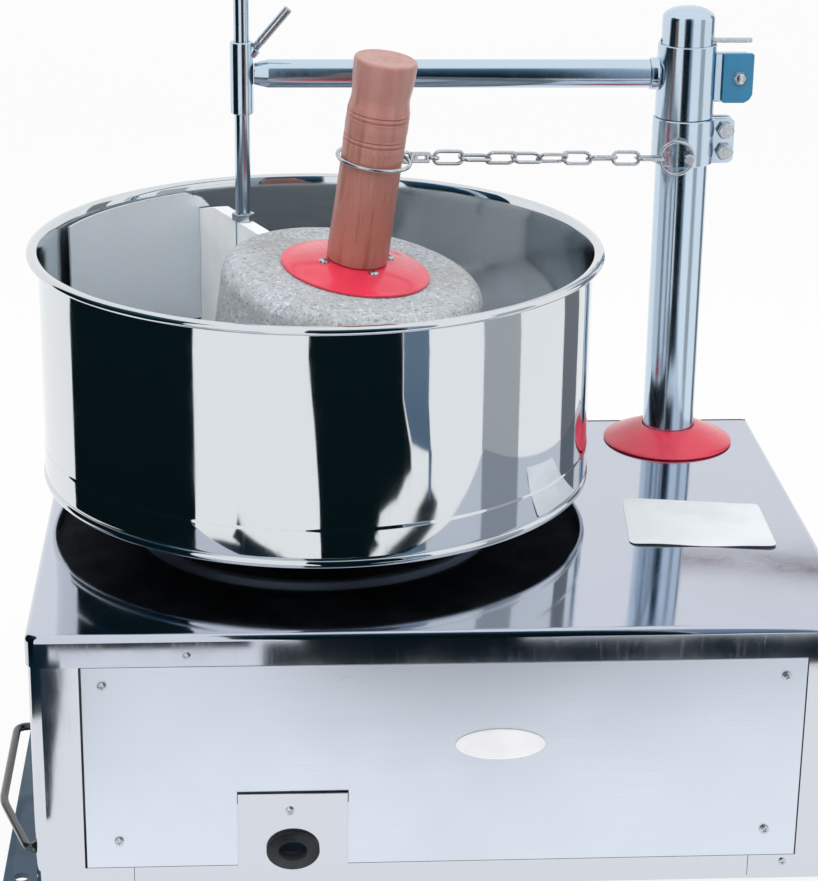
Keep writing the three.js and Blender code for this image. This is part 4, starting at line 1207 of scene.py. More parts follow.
@dataclass
class Cabinet(Assembly):
    """The sheet-steel body: deck, side wraps, front panel, badge, cable plate and grommet."""

    corner: float = 9.0
    fold: float = 5.0
    fold_depth: float = 23.0
    stile: float = 68.0
    rail_top: float = 34.0
    foot: float = 4.3
    panel_half: float = 248.0
    panel_foot: float = 24.0
    plate_x: float = -105.5
    plate_foot: float = 20.0
    plate_size: Flat = (76.0, 60.0)
    panel_sheet: float = 1.5
    grommet_z: float = 37.0
    grommet_bore: float = 9.5
    grommet_neck: float = 15.0
    grommet_flange: float = 18.5
    grommet_proud: float = 5.0
    badge_x: float = 37.7
    badge_z: float = 115.0
    badge_half: Flat = (31.0, 11.5)
    label_sheet: float = 0.3
    curl_depth: float = 0.16  # share of the label's depth that curls up at its front
    curl_width: float = 0.14  # share of its width that curls up at its right
    # The dark strips behind the panel and the cable plate are painted shadow lines; these say how far they
    # show.
    shadow_strip_shows: tuple[float, float, float, float] = (1.7, 1.3, 1.1, 0.15)  # left, right, foot and top
    shadow_strip_lap: float = 9.0
    plate_shadow_strip_shows: Point = (0.4, 0.6, 1.3)  # left, right and top
    cut: float = 20.0  # how far cutters reach past what they cut

    @property
    def outer_face(self) -> float:
        """The front panel's outer face, along Y."""
        return self.at.front - 2 * self.at.fit - self.panel_sheet

    def build(self) -> None:
        """Builds every piece."""
        self.deck_sheet()
        self.walls()
        self.front_panel()
        self.shadow_strips()
        self.cable_entry()
        self.badge()
        self.screws()
        self.deck_label()

    def deck_sheet(self) -> None:
        """The mirror deck: one sheet with its edges folded down over the walls."""
        lap = self.at.sheet + self.at.fit
        half = self.at.half + lap
        low = (-half, self.at.front - lap, self.at.deck - self.fold_depth)
        bm = block(low, (half, self.at.back + lap, self.at.deck))
        upright = [e for e in bm.edges if abs(e.verts[0].co.z - e.verts[1].co.z) > 1]
        front = [e for e in upright if e.verts[0].co.y < 0]
        back = [e for e in upright if e.verts[0].co.y > 0]
        round_edges(bm, front, self.corner + lap, 10)
        round_edges(bm, back, lap, 2)
        rim = [e for e in bm.edges if min(v.co.z for v in e.verts) > self.at.deck - 0.01]
        round_edges(bm, rim, self.fold, 8)
        under = [f for f in bm.faces if f.normal.z < -0.9]
        bmesh.ops.delete(bm, geom=under, context="FACES_ONLY")
        self.add(
            "deck_sheet", tidy(bm), "deck", Body.FRAME, ["deck_top"], smooth_under=60, sheet=self.at.sheet
        )

    def walls(self) -> None:
        """Side wraps with their rounded front corners, the rear panel and the bottom rail."""
        top = self.at.deck - self.fold
        for word, side in (("left", -1.0), ("right", 1.0)):
            centre = (self.at.half - self.corner, self.at.front + self.corner)
            turn = arc(centre, (self.corner, self.corner), 0, -90, 10)
            path = [(self.at.half, self.at.back), *turn, (self.at.half - self.stile, self.at.front)]
            bm = bmesh.new()
            verts = [bm.verts.new((side * x, y, self.foot)) for x, y in path]
            edges = [bm.edges.new(pair) for pair in zip(verts, verts[1:])]
            made = bmesh.ops.extrude_edge_only(bm, edges=edges)["geom"]
            lifted = [g for g in made if isinstance(g, BMVert)]
            bmesh.ops.translate(bm, vec=(0, 0, top - self.foot), verts=lifted)
            inside = Vector((0.0, 0.0, 100.0))
            for f in bm.faces:
                if (f.calc_center_median() - inside).dot(f.normal) < 0:
                    f.normal_flip()
            name = f"side_wrap_sheet_{word}"
            self.add(name, bm, "mirror", Body.FRAME, [f"side_wrap_{word}"], sheet=self.at.sheet)
        edge = self.at.half - self.at.sheet - self.at.fit
        rear = block((-edge, self.at.back - self.at.sheet, self.foot), (edge, self.at.back, top))
        self.add("rear_sheet", rear, "brushed", Body.FRAME, ["rear_panel"], bevel=0.3)
        edge = self.at.half - self.stile - self.at.fit
        high = (edge, self.at.front + self.at.sheet, self.rail_top)
        rail = cut_by(block((-edge, self.at.front, self.foot), high), self.cable_hole())
        self.add("bottom_rail_sheet", rail, "mirror", Body.FRAME, ["bottom_rail"], bevel=0.3)

    def cable_hole(self) -> BMesh:
        """The cutter for the grommet's hole."""
        wide = self.grommet_neck + self.at.fit
        bar = put(turned([(0, -self.cut), (wide, -self.cut), (wide, self.cut), (0, self.cut)], 64), OVAL)
        return moved(put(bar, FRONT), self.plate_x, self.at.front, self.grommet_z)

    def front_panel(self) -> None:
        """The removable panel, with its edges just rounded."""
        face = self.at.front - self.at.fit
        top = self.at.deck - self.fold_depth - self.at.fit
        low = (-self.panel_half, face - self.panel_sheet, self.panel_foot)
        bm = cut_by(block(low, (self.panel_half, face, top)), self.cable_hole())
        self.add("front_panel_sheet", bm, "panel", Body.FRAME, ["front_panel"], bevel=0.45, segments=3)

    def shadow_strips(self) -> None:
        """Thin dark strips behind the panel and the cable plate, painted shadow lines; a hair of each shows
        round them.
        """
        top = self.at.deck - self.fold_depth - self.at.fit
        low, high = self.at.front - 0.25, self.at.front - 0.05
        left, right, under, above = self.shadow_strip_shows
        half, lap, foot = self.panel_half, self.shadow_strip_lap, self.panel_foot
        whole = block((-half - left, low, foot - under), (half + right, high, top + above))
        inner = block((-half + lap, low - 1, foot + lap), (half - lap, high + 1, top - lap))
        self.add("panel_shadow_strip", cut_by(whole, inner), "rubber", Body.FRAME, bevel=0.05)
        wide, tall = self.plate_size
        face = self.at.front - self.at.fit - self.panel_sheet
        left, right, above = self.plate_shadow_strip_shows
        head = self.plate_foot + tall
        start, end = self.plate_x - wide / 2 - left, self.plate_x + wide / 2 + right
        strip = block((start, face - 0.27, head - 8.0), (end, face - 0.03, head + above))
        self.add("cable_plate_shadow_strip", strip, "rubber", Body.FRAME, bevel=0.05)

    def cable_entry(self) -> None:
        """The cable plate with its hole, and the rubber grommet."""
        face = self.outer_face
        wide, high = self.plate_size
        bm = block(
            (self.plate_x - wide / 2, face - self.panel_sheet, self.plate_foot),
            (self.plate_x + wide / 2, face, self.plate_foot + high),
        )
        bm = cut_by(bm, self.cable_hole())
        self.add("cable_entry_plate", bm, "mirror", Body.FRAME, ["cable_plate"], bevel=0.3)
        seat = -(face - self.panel_sheet) + self.at.fit
        back = -self.at.front - self.at.sheet
        proud = seat - self.at.fit + self.grommet_proud
        profile = [
            (self.grommet_bore, back),
            (self.grommet_neck, back),
            (self.grommet_neck, seat),
            (self.grommet_flange, seat),
            *arc((self.grommet_flange - 1.6, proud - 1.8), (1.6, 1.8), 0, 90, 6),
            *arc((self.grommet_bore + 2.5, proud - 2.5), (2.5, 2.5), 90, 180, 6),
        ]
        ring = put(turned(profile, 72, closed=True), OVAL)
        ring = moved(put(ring, FRONT), self.plate_x, 0.0, self.grommet_z)
        self.add("rubber_grommet", ring, "rubber", Body.FRAME, ["cable_grommet"])

    def badge(self) -> None:
        """A blank oval badge with a thin raised border."""
        face = self.outer_face
        wide, high = self.badge_half
        border = [(wide, 0.2), (wide, 0.55), (wide - 0.3, 0.8), (wide - 1.1, 0.8), (wide - 1.5, 0.5)]
        profile = [(0, 0), (wide - 0.2, 0), *border, (0, 0.5)]
        bm = put(turned(profile, 128), Matrix.Diagonal((1.0, high / wide, 1.0, 1.0)))
        bm = moved(put(bm, FRONT), self.badge_x, face, self.badge_z)
        self.add("blank_badge", bm, "enamel", Body.FRAME, ["badge_plate"])

    def screws(self) -> None:
        """Panel screws, and the small ones on the deck's fold, the cable plate and the bottom rail."""
        face = self.outer_face
        places = [(-234.0, 163.2), (234.0, 163.2), (-225.5, 44.5), (225.5, 44.5)]
        for i, (x, z) in enumerate(places):
            bm = put(machine_screw(3.2, 2.0), Matrix.Rotation(0.4 + 0.7 * i, 4, "Z"))
            bm = moved(put(bm, FRONT), x, face, z)
            self.add(f"panel_screw_head_{i + 1}", bm, "zinc", Body.FRAME, [f"panel_screw_{i + 1}"])
        small = [
            ("fold_screw", 2.7, -176.4, self.at.front - self.at.sheet - self.at.fit, 184.7),
            ("cable_plate_screw", 3.1, -107.5, face - self.panel_sheet, 67.0),
            ("rail_screw", 2.7, 240.5, self.at.front, 17.3),
        ]
        for name, head, x, y, z in small:
            bm = moved(put(machine_screw(head, 1.5), FRONT), x, y, z)
            self.add(name, bm, "zinc", Body.FRAME)

    def deck_label(self) -> None:
        """A blank vinyl label beside the drum, its front edge curled up a little."""
        bm = bmesh.new()
        bmesh.ops.create_grid(bm, x_segments=40, y_segments=32, size=0.5)
        corners = [(145.4, -87.9), (253.5, -97.5), (255.5, -11.0), (153.1, 6.1)]
        across, along = 0.06, 0.06 * 1.25  # the corners' rounding, as shares of the width and the depth
        for vert in bm.verts:
            u, v = vert.co.x + 0.5, vert.co.y + 0.5
            middle = (min(max(u, across), 1 - across), min(max(v, along), 1 - along))
            away = Vector(((u - middle[0]) / across, (v - middle[1]) / along))
            if away.length > 1:
                away.normalize()
                u, v = middle[0] + away.x * across, middle[1] + away.y * along
            lower = Vector(corners[0]).lerp(Vector(corners[1]), u)
            upper = Vector(corners[3]).lerp(Vector(corners[2]), u)
            flat = lower.lerp(upper, v)
            front_curl = max(0.0, 1 - v / self.curl_depth) ** 2 * (0.7 + 0.6 * math.sin(u * 9.0))
            side_curl = max(0.0, (u - (1 - self.curl_width)) / self.curl_width) ** 2 * 0.8
            vert.co = (flat.x, flat.y, self.at.deck + self.label_sheet / 2 + front_curl + side_curl)
        piece = self.add("blank_deck_label", tidy(bm), "label", Body.FRAME)
        thick = piece.modifiers.new("vinyl", "SOLIDIFY")
        thick.thickness = self.label_sheet * MM
        thick.offset = 1.0


@dataclass
class BaseFrame(Assembly):
    """The painted frame under the body, and the two carry handles."""

    nodes: dict[str, Object]
    grip_radius: float = 3.0
    grip_z: float = 35.0
    grip_out: float = 29.0
    grip_stub: float = 6.0
    grip_near: float = 10.0
    grip_slant: float = 68.0
    grip_length: float = 117.0
    members: tuple[str, ...] = (
        "base_runner_left",
        "base_runner_right",
        "base_cross_front",
        "base_cross_rear",
        "bearing_bridge",
    )

    def build(self) -> None:
        """Builds the members and the handles."""
        for name in self.members:
            made = copy_of(self.nodes[name])
            self.add(f"{name}_painted", made, "frame_blue", Body.FRAME, [name], bevel=0.8)
        for word, side in (("left", -1.0), ("right", 1.0)):
            self.carry_handle(word, side)

    def carry_handle(self, word: str, side: float) -> None:
        """A bent rod with a weld foot at each end.

        Args:
            word: Which side.
            side: Its sign along X.
        """
        near = self.at.front + self.grip_near
        far = near + self.grip_slant + self.grip_length
        start = self.at.half + self.at.fit
        route = [
            (start, near),
            (self.at.half + self.grip_stub, near),
            (self.at.half + self.grip_out, near + self.grip_slant),
            (self.at.half + self.grip_out, far),
            (start, far),
        ]
        points = [Vector((side * x, y, self.grip_z)) for x, y in route]
        path = bent(points, [self.grip_stub / 2, 9.0, 9.0])
        bm = rod(path, self.grip_radius, 20)
        for y in (near, far):
            weld = turned([(0, 0), (4.6, 0), (4.3, 0.7), (3.4, 1.6), (2.9, 2.4), (0, 2.4)], 24)
            weld = moved(put(weld, RIGHT if side > 0 else LEFT), side * start, y, self.grip_z)
            bm = joined(bm, weld)
        self.add(f"carry_grip_{word}", bm, "black", Body.FRAME, [f"carry_handle_{word}"])


@dataclass
class Drum(Assembly):
    """The mirror drum with its granite base stone, the turntable under it and the disc on the deck."""

    radius: float = 206.5
    wall: float = 1.5
    lip_z: float = 223.0
    rim_z: float = 396.7
    roll_radius: float = 210.7
    roll_half: Flat = (4.3, 3.1)
    pan_z: float = 230.0
    ring_z: float = 280.0
    bowl_radius: float = 420.0
    bowl_z: float = 254.4
    band: float = 0.45
    band_high: float = 29.0
    lip: float = 1.7
    table_radius: float = 141.0
    table_step: float = 5.0
    table_thick: float = 14.0
    table_rim: float = 6.4
    table_bore: float = 12.8
    table_hub: float = 30.0
    disc_radius: float = 110.0
    disc_bore: float = 34.0
    disc_high: float = 5.0
    steps: int = 256

    def centred(self, bm: BMesh) -> BMesh:
        """Moves a shape onto the drum's axis.

        Args:
            bm: The shape, made about Z.

        Returns:
            The same shape.
        """
        return moved(bm, self.at.drum_x, self.at.drum_y)

    def build(self) -> None:
        """Builds every piece."""
        self.shell()
        self.base_stone()
        self.turntable()
        self.deck_disc()

    def shell(self) -> None:
        """The drum: rolled rim, drawn wall, seam band and a rolled lip at its foot."""
        bore = self.radius - self.wall
        band = self.radius + self.band
        seam = self.lip_z + self.band_high
        roll = arc((self.roll_radius, self.rim_z), self.roll_half, -150, 150, 20)
        profile = [
            (0.0, self.pan_z),
            (bore, self.pan_z),
            (bore, self.lip_z),
            *arc((self.radius, self.lip_z + 3.0), (self.lip, 3.0), -90, 90, 8),
            (band, self.lip_z + 6.6),
            (band, self.lip_z + 8.0),
            (band, self.lip_z + 14.0),
            (band, seam - 2.0),
            (band - 0.1, seam - 0.9),
            (self.radius + 0.05, seam - 0.35),
            (self.radius, seam + 0.6),
            (self.radius, seam + 10.0),
            (self.radius, self.rim_z - 20.0),
            (self.radius, self.rim_z - 4.0),
            *roll,
            (bore, self.rim_z - 2.6),
            (bore, self.rim_z - 10.0),
            (bore, self.rim_z - 60.0),
            (bore, self.pan_z + 12.0),
            (bore, self.pan_z + self.wall),
            (0.0, self.pan_z + self.wall),
        ]
        bm = self.centred(turned(profile, self.steps))
        piece = self.add("drum_wall", bm, "drum", Body.DRUM, ["drum_shell"], smooth_under=50)
        piece.data.materials.append(self.paint["inside"].material)
        piece.data.materials.append(self.paint["pan_shade"].material)
        axis = Vector((self.at.drum_x, self.at.drum_y, 0.0)) * MM
        for face in piece.data.polygons:
            out = (face.center - axis).to_2d()
            inwards = out.dot(face.normal.to_2d()) < 0
            # Faces on the wall's inside take the darker inside steel: painted shade.
            if inwards and out.length < (bore + 0.5) * MM and face.center.z > self.pan_z * MM:
                face.material_index = 1
            # Faces under the pan take the black: painted shade of the drum's underside.
            if face.center.z < (self.pan_z + 0.5) * MM and out.length < (bore + 0.2) * MM:
                face.material_index = 2

    def base_stone(self) -> None:
        """The fixed granite stone, with the bowl that the roller runs in."""
        foot = self.pan_z + self.wall + self.at.fit
        rim = self.radius - self.wall - 1.0
        middle = self.bowl_z + self.bowl_radius
        edge = math.degrees(math.acos((middle - self.ring_z) / self.bowl_radius))
        bowl = arc((0.0, middle), (self.bowl_radius, self.bowl_radius), -90 + edge, -90, 24)
        corner = arc((rim - 3, self.ring_z - 3), (3, 3), 0, 90, 4)
        wall = [(0.0, foot), (rim, foot), (rim, self.ring_z - 3)]
        profile = [*wall, *corner, *bowl[:-1], (0.0, self.bowl_z)]
        bm = self.centred(turned(profile, 160))
        self.add("granite_bowl", bm, "stone", Body.DRUM, ["granite_base"])

    def turntable(self) -> None:
        """The dark cast plate that carries the drum on the shaft, with a bright turned rim at its foot."""
        top = self.pan_z - self.at.fit
        under = top - self.table_thick
        body, bore, hub = self.table_radius - self.table_step, self.table_bore, self.table_hub
        profile = [
            (0.0, top - 5.7),
            (bore, top - 5.7),
            (bore, under - 8.0),
            (hub - 1.5, under - 8.0),
            (hub, under - 6.5),
            (hub, under - 2.0),
            *arc((hub + 2.0, under - 2.0), (2.0, 2.0), 180, 90, 4)[1:],
            (body - 0.2, under),
            (body - 0.2, top - 0.8),
            (body - 1.0, top),
            (0.0, top),
        ]
        bm = self.centred(turned(profile, 160))
        self.add("turntable_casting", bm, "iron", Body.DRUM, smooth_under=35)
        r, step = self.table_radius, self.table_rim
        lower = [(body - 0.2, under), (r - 0.7, under), (r, under + 0.7), (r, under + step / 2)]
        rim = [*lower, (r, under + step - 0.7), (r - 0.7, under + step), (body - 0.2, under + step)]
        bm = self.centred(turned(rim, 192, closed=True))
        self.add("turntable_rim", bm, "turned", Body.DRUM, ["turntable"], smooth_under=35)

    def deck_disc(self) -> None:
        """The polished disc on the deck, under the drum."""
        low, high = self.at.deck + self.at.fit, self.at.deck + self.disc_high
        profile = [
            (self.disc_bore, low),
            (self.disc_radius, low),
            (self.disc_radius, high - 1.2),
            *arc((self.disc_radius - 1.2, high - 1.2), (1.2, 1.2), 0, 90, 4)[1:],
            (self.disc_radius - 12.0, high),
            (self.disc_bore + 12.0, high),
            (self.disc_bore, high),
        ]
        bm = self.centred(turned(profile, 192, closed=True))
        self.add("deck_disc_plate", bm, "mirror", Body.FRAME, ["deck_disc"], smooth_under=35)


@dataclass
class RollerStone(Assembly):
    """The leaning granite roller with its red cap plate, four screws and turned handle."""

    lean_right: float = 7.4
    lean_front: float = 5.0
    offset: float = 47.0
    share_x: float = 0.675
    nose: float = 160.0
    nose_half: float = 80.0
    radius: float = 97.5
    top: float = -32.3
    cap_radius: float = 55.2
    cap_high: float = 8.0
    bore: float = 6.3
    screw_circle: float = 27.0
    handle: float = 22.4
    handle_length: float = 153.0
    swell: float = 0.5
    bowl_centre: float = 674.4
    reach: float = 259.5

    def direction(self) -> Vector:
        """Up the handle."""
        right = math.tan(math.radians(self.lean_right))
        front = math.tan(math.radians(self.lean_front))
        return Vector((right, -front, 1.0)).normalized()

    def centre(self) -> Vector:
        """The middle of the rounded nose's sphere."""
        drop = math.sqrt(self.reach**2 - self.offset**2)
        back = self.offset * math.sqrt(1 - self.share_x**2)
        right = self.offset * self.share_x
        return Vector((self.at.drum_x + right, self.at.drum_y - back, self.bowl_centre - drop))

    def axis(self) -> Matrix:
        """From the stone's own frame to the part's."""
        return leaning(self.centre(), self.direction())

    def build(self) -> None:
        """Builds every piece."""
        self.stone()
        self.cap()
        self.wooden_handle()

    def stone(self) -> None:
        """The roller: a rounded nose that grinds in the bowl, and a rounded shoulder."""
        half = math.degrees(math.asin(self.nose_half / self.nose))
        heel = -self.nose * math.cos(math.radians(half))
        nose = arc((0, 0), (self.nose, self.nose), -90, -90 + half, 14)
        shoulder = arc((self.radius - 15, self.top - 14), (15, 14), 0, 90, 14)
        profile = [
            (0.0, -self.nose),
            *nose[1:],
            (self.nose_half + 6.0, heel + 3.2),
            (self.nose_half + 12.0, heel + 26.0 / 3),
            (self.radius - 2.2, heel + 17.0),
            (self.radius, heel + 26.0),
            (self.radius, heel + 34.0),
            *shoulder,
            (0.0, self.top),
        ]
        bm = put(turned(profile, 144), self.axis())
        self.add("roller_granite", bm, "stone", Body.ROLLER, ["grinding_stone"], smooth_under=60)

    def cap(self) -> None:
        """The domed red plate and its four bright screws."""
        foot = self.top + self.at.fit
        edge = 1.8
        dome = self.cap_high - edge
        outer = [(1.0, 0.0), (0.985, 0.06), (0.94, 0.11), (0.9, 0.15), (0.8, 0.4)]
        inner = [(0.7, 0.62), (0.6, 0.8), (0.5, 0.92), (0.43, 1.0)]
        rise = [(self.cap_radius * r, foot + edge + dome * z) for r, z in (*outer, *inner)]
        rim = [(self.cap_radius - 0.5, foot), (self.cap_radius, foot + 0.5)]
        profile = [(self.bore, foot), *rim, *rise, (self.bore, foot + self.cap_high)]
        bm = put(turned(profile, 128, closed=True), self.axis())
        self.add("cap_plate_red", bm, "red", Body.ROLLER, ["stone_cap_plate"], smooth_under=60)
        out, high = self.screw_circle, foot + edge + dome * 0.93
        for i, angle in enumerate((205.0, 295.0, 25.0, 115.0)):
            a = math.radians(angle)
            screw = moved(machine_screw(3.9, 2.6, 0.8), out * math.cos(a), out * math.sin(a), high - 0.4)
            self.add(f"cap_screw_{i + 1}", put(screw, self.axis()), "zinc", Body.ROLLER)

    def wooden_handle(self) -> None:
        """The turned handle with its four grooves and slightly dished top."""
        foot = self.top + self.at.fit + self.cap_high + self.at.fit
        top = foot + self.handle_length
        r, s, length = self.handle, self.swell, self.handle_length
        profile = [(0.0, foot), (r - 1.0, foot), (r, foot + 1.0), (r + s, foot + r / 2)]
        profile += [(r + s / 2, foot + 26.0), (r, foot + 45.0)]
        profile += [(r - 0.1, foot + length * 0.5), (r + 0.1, foot + length * 0.57)]
        # Pairs of turned lines with a thin bead between them, and a swell from one pair to the other
        for share in (0.6, 0.72):
            z = foot + length * share
            for line in (z, z + 3.6):
                profile += [(r + 0.35, line - 1.1), (r - 0.45, line - 0.45), (r - 0.7, line)]
                profile += [(r - 0.45, line + 0.45), (r + 0.35, line + 1.1)]
            profile += [(r + 0.1, z + 5.6)]
            if share < 0.7:
                profile += [(r + 0.42, z + 8.6), (r + s, z + 11.6)]
                profile += [(r + 0.42, z + 14.8), (r + 0.15, z + 16.6)]
        neck = foot + length * 0.81
        profile += [(r - 0.5, neck - 5.0), (r - 1.1, neck - 2.0), (r - 1.3, neck + 1.0)]
        profile += [(r - 1.1, neck + 4.0), (r - 0.5, neck + 8.0)]
        profile += [(r, top - 15.0), (r + 0.4, top - 8.0), (r + s, top - 3.0)]
        profile += arc((r + s - 2.0, top - 2.0), (2.0, 2.0), 0, 90, 5)
        profile += [(r - 4.0, top - 0.25), (0.0, top - 0.6)]
        bm = put(turned(profile, 96), self.axis())
        coat = wood_along(self.axis())
        add_piece("handle_turned_wood", bm, coat, Body.ROLLER, ["wooden_handle"], smooth_under=55)


@dataclass
class Pillar(Assembly):
    """The pillar with its red flange, the swing arm on its sleeve, and the pin above."""

    radius: float = 20.5
    wall: float = 2.5
    foot: float = 6.3
    top: float = 557.0
    dome: float = 9.0
    arm_z: float = 504.0
    sleeve_z: float = 470.5
    sleeve_high: float = 57.5
    sleeve_radius: float = 23.0
    lug_z: float = 481.5
    lug_high: float = 39.0
    bolt_x: float = 41.5
    flange_radius: float = 52.3
    flange_high: float = 14.0
    pin_radius: float = 2.0
    pin_ends: Flat = (-21.5, 50.5)  # left and right of the pillar's axis
    tube_radius: float = 11.0

    def stand(self, bm: BMesh, z: float = 0.0) -> BMesh:
        """Moves a shape onto the pillar's axis.

        Args:
            bm: The shape, made about Z.
            z: How far it is lifted.

        Returns:
            The same shape.
        """
        return moved(bm, self.at.pillar_x, self.at.pillar_y, z)

    def build(self) -> None:
        """Builds every piece."""
        self.tube()
        self.flange()
        self.pin()
        self.sleeve()
        self.arm_tube()
        self.lock()

    def tube(self) -> None:
        """The chromed tube with its domed top."""
        r, wall = self.radius, self.radius - self.wall
        crown = arc((0.0, self.top - self.dome), (r, self.dome), 0, 90, 14)
        inner = arc((0.0, self.top - self.dome), (wall, self.dome - self.wall), 90, 0, 8)
        seam = self.top - self.dome - 1.2
        outside = [(wall, self.foot), (r, self.foot), (r, 300.0), (r, seam - 6), (r, seam)]
        profile = [*outside, *crown[1:], *inner]
        bm = self.stand(turned(profile, 128, closed=True))
        self.add("pillar_tube", bm, "tube", Body.FRAME, ["pillar"], smooth_under=50)

    def flange(self) -> None:
        """The domed red cover at the pillar's foot."""
        r, low = self.flange_radius, self.at.deck
        shares = [
            (0.995, 0.02),
            (0.97, 0.09),
            (0.93, 0.17),
            (0.87, 0.29),
            (0.8, 0.42),
            (0.71, 0.59),
            (0.62, 0.74),
            (0.55, 0.86),
            (0.49, 0.94),
            (0.45, 0.985),
            (0.425, 1.0),
        ]
        edge, high, bore = 1.5, self.flange_high, self.radius + self.at.fit
        rise = [(r * a, low + edge + (high - edge) * b) for a, b in shares]
        foot = [(bore, low + 0.3), (r - 0.5, low + 0.3), (r, low + 0.7), (r, low + 1.2)]
        profile = [*foot, *rise, (bore + 0.6, low + high), (bore, low + high - 0.5)]
        bm = self.stand(turned(profile, 128, closed=True))
        self.add("flange_red_cover", bm, "red", Body.FRAME, ["pillar_flange"], smooth_under=60)

    def pin(self) -> None:
        """The thin pin that keeps the arm down, through the pillar."""
        r, (start, end) = self.pin_radius, self.pin_ends
        z = self.sleeve_z + self.sleeve_high + self.at.fit + r
        profile = [(0, start), (r - 0.6, start), (r, start + 0.6), (r, end - 0.8), (r - 0.6, end), (0, end)]
        bm = self.stand(put(turned(profile, 24), RIGHT), z)
        self.add("arm_retaining_pin", bm, "zinc", Body.PIN, ["retaining_pin"])

    def sleeve(self) -> None:
        """The arm's sleeve with the stub for the tube and the lug on the far side."""
        r, bore = self.sleeve_radius, self.radius + self.at.fit
        z0, z1 = self.sleeve_z, self.sleeve_z + self.sleeve_high
        bm = self.stand(turned(tube_wall(bore, r, z0, z1, 0.6, 4.0), 96, closed=True))
        self.add("arm_sleeve_tube", bm, "tube", Body.ARM, ["arm_sleeve"])
        start = bore + 0.6
        wide, end = 12.4, r + 6.0
        weld = [(wide, start), (wide + 1.0, start + 1.2), (wide, r + 1.4)]
        stub = [(0, start), *weld, (wide, end - 0.6), (wide - 0.6, end), (0, end)]
        self.add("arm_stub", self.stand(put(turned(stub, 64), LEFT), self.arm_z), "tube", Body.ARM)
        lug = block((start, 0.0, self.lug_z), (48.0, 6.0, self.lug_z + self.lug_high))
        hole = put(turned([(0, -9), (3.3, -9), (3.3, 9), (0, 9)], 32), FRONT)
        hole = moved(hole, self.bolt_x, 3.0, self.lug_z + self.lug_high / 2)
        bm = self.stand(cut_by(lug, hole))
        self.add("arm_lug", bm, "tube", Body.ARM, bevel=1.0, segments=3)

    def arm_tube(self) -> None:
        """The arm's tube with its coned end."""
        r, start = self.tube_radius, self.sleeve_radius + 6.3
        end = self.at.pillar_x - self.at.rod_x - 9.3
        cone = [(r, end - 11.5), (r - 0.2, end - 10.0), (r - 2.3, end - 1.0), (r - 2.7, end)]
        profile = [(0, start), (r, start), (r, start + 4), *cone, (0, end)]
        bm = self.stand(put(turned(profile, 72), LEFT), self.arm_z)
        self.add("arm_chromed_tube", bm, "tube", Body.ARM, ["arm_tube"], smooth_under=35)

    def lock(self) -> None:
        """The blue plate on the lug and the bolt through both."""
        bm = block((28.5, -4.3, self.lug_z), (52.5, -0.3, self.lug_z + self.lug_high))
        corners = [e for e in bm.edges if abs(e.verts[0].co.y - e.verts[1].co.y) > 1]
        outer_foot = [e for e in corners if e.verts[0].co.x > 50 and e.verts[0].co.z < self.lug_z + 1]
        others = [e for e in corners if e not in outer_foot]
        round_edges(bm, outer_foot, 6.5, 2, profile=0.4)
        round_edges(bm, others, 2.0, 4)
        self.add("lock_plate_blue", self.stand(bm), "blue", Body.ARM, ["lock_plate"], bevel=0.5)
        dome = arc((0, 6.2), (5.2, 2.4), 0, 90, 6)
        lower = [(0, -6.0), (3.0, -6.0), (3.0, 4.6), (5.8, 4.6), (5.8, 5.4), (5.2, 5.8)]
        profile = [*lower, *dome[:-1], (0, 8.6)]
        bm = moved(put(turned(profile, 6), FRONT), self.bolt_x, 0.0, self.lug_z + self.lug_high / 2)
        self.add("lock_bolt_hex", self.stand(bm), "zinc", Body.ARM, ["lock_bolt"], bevel=0.4)


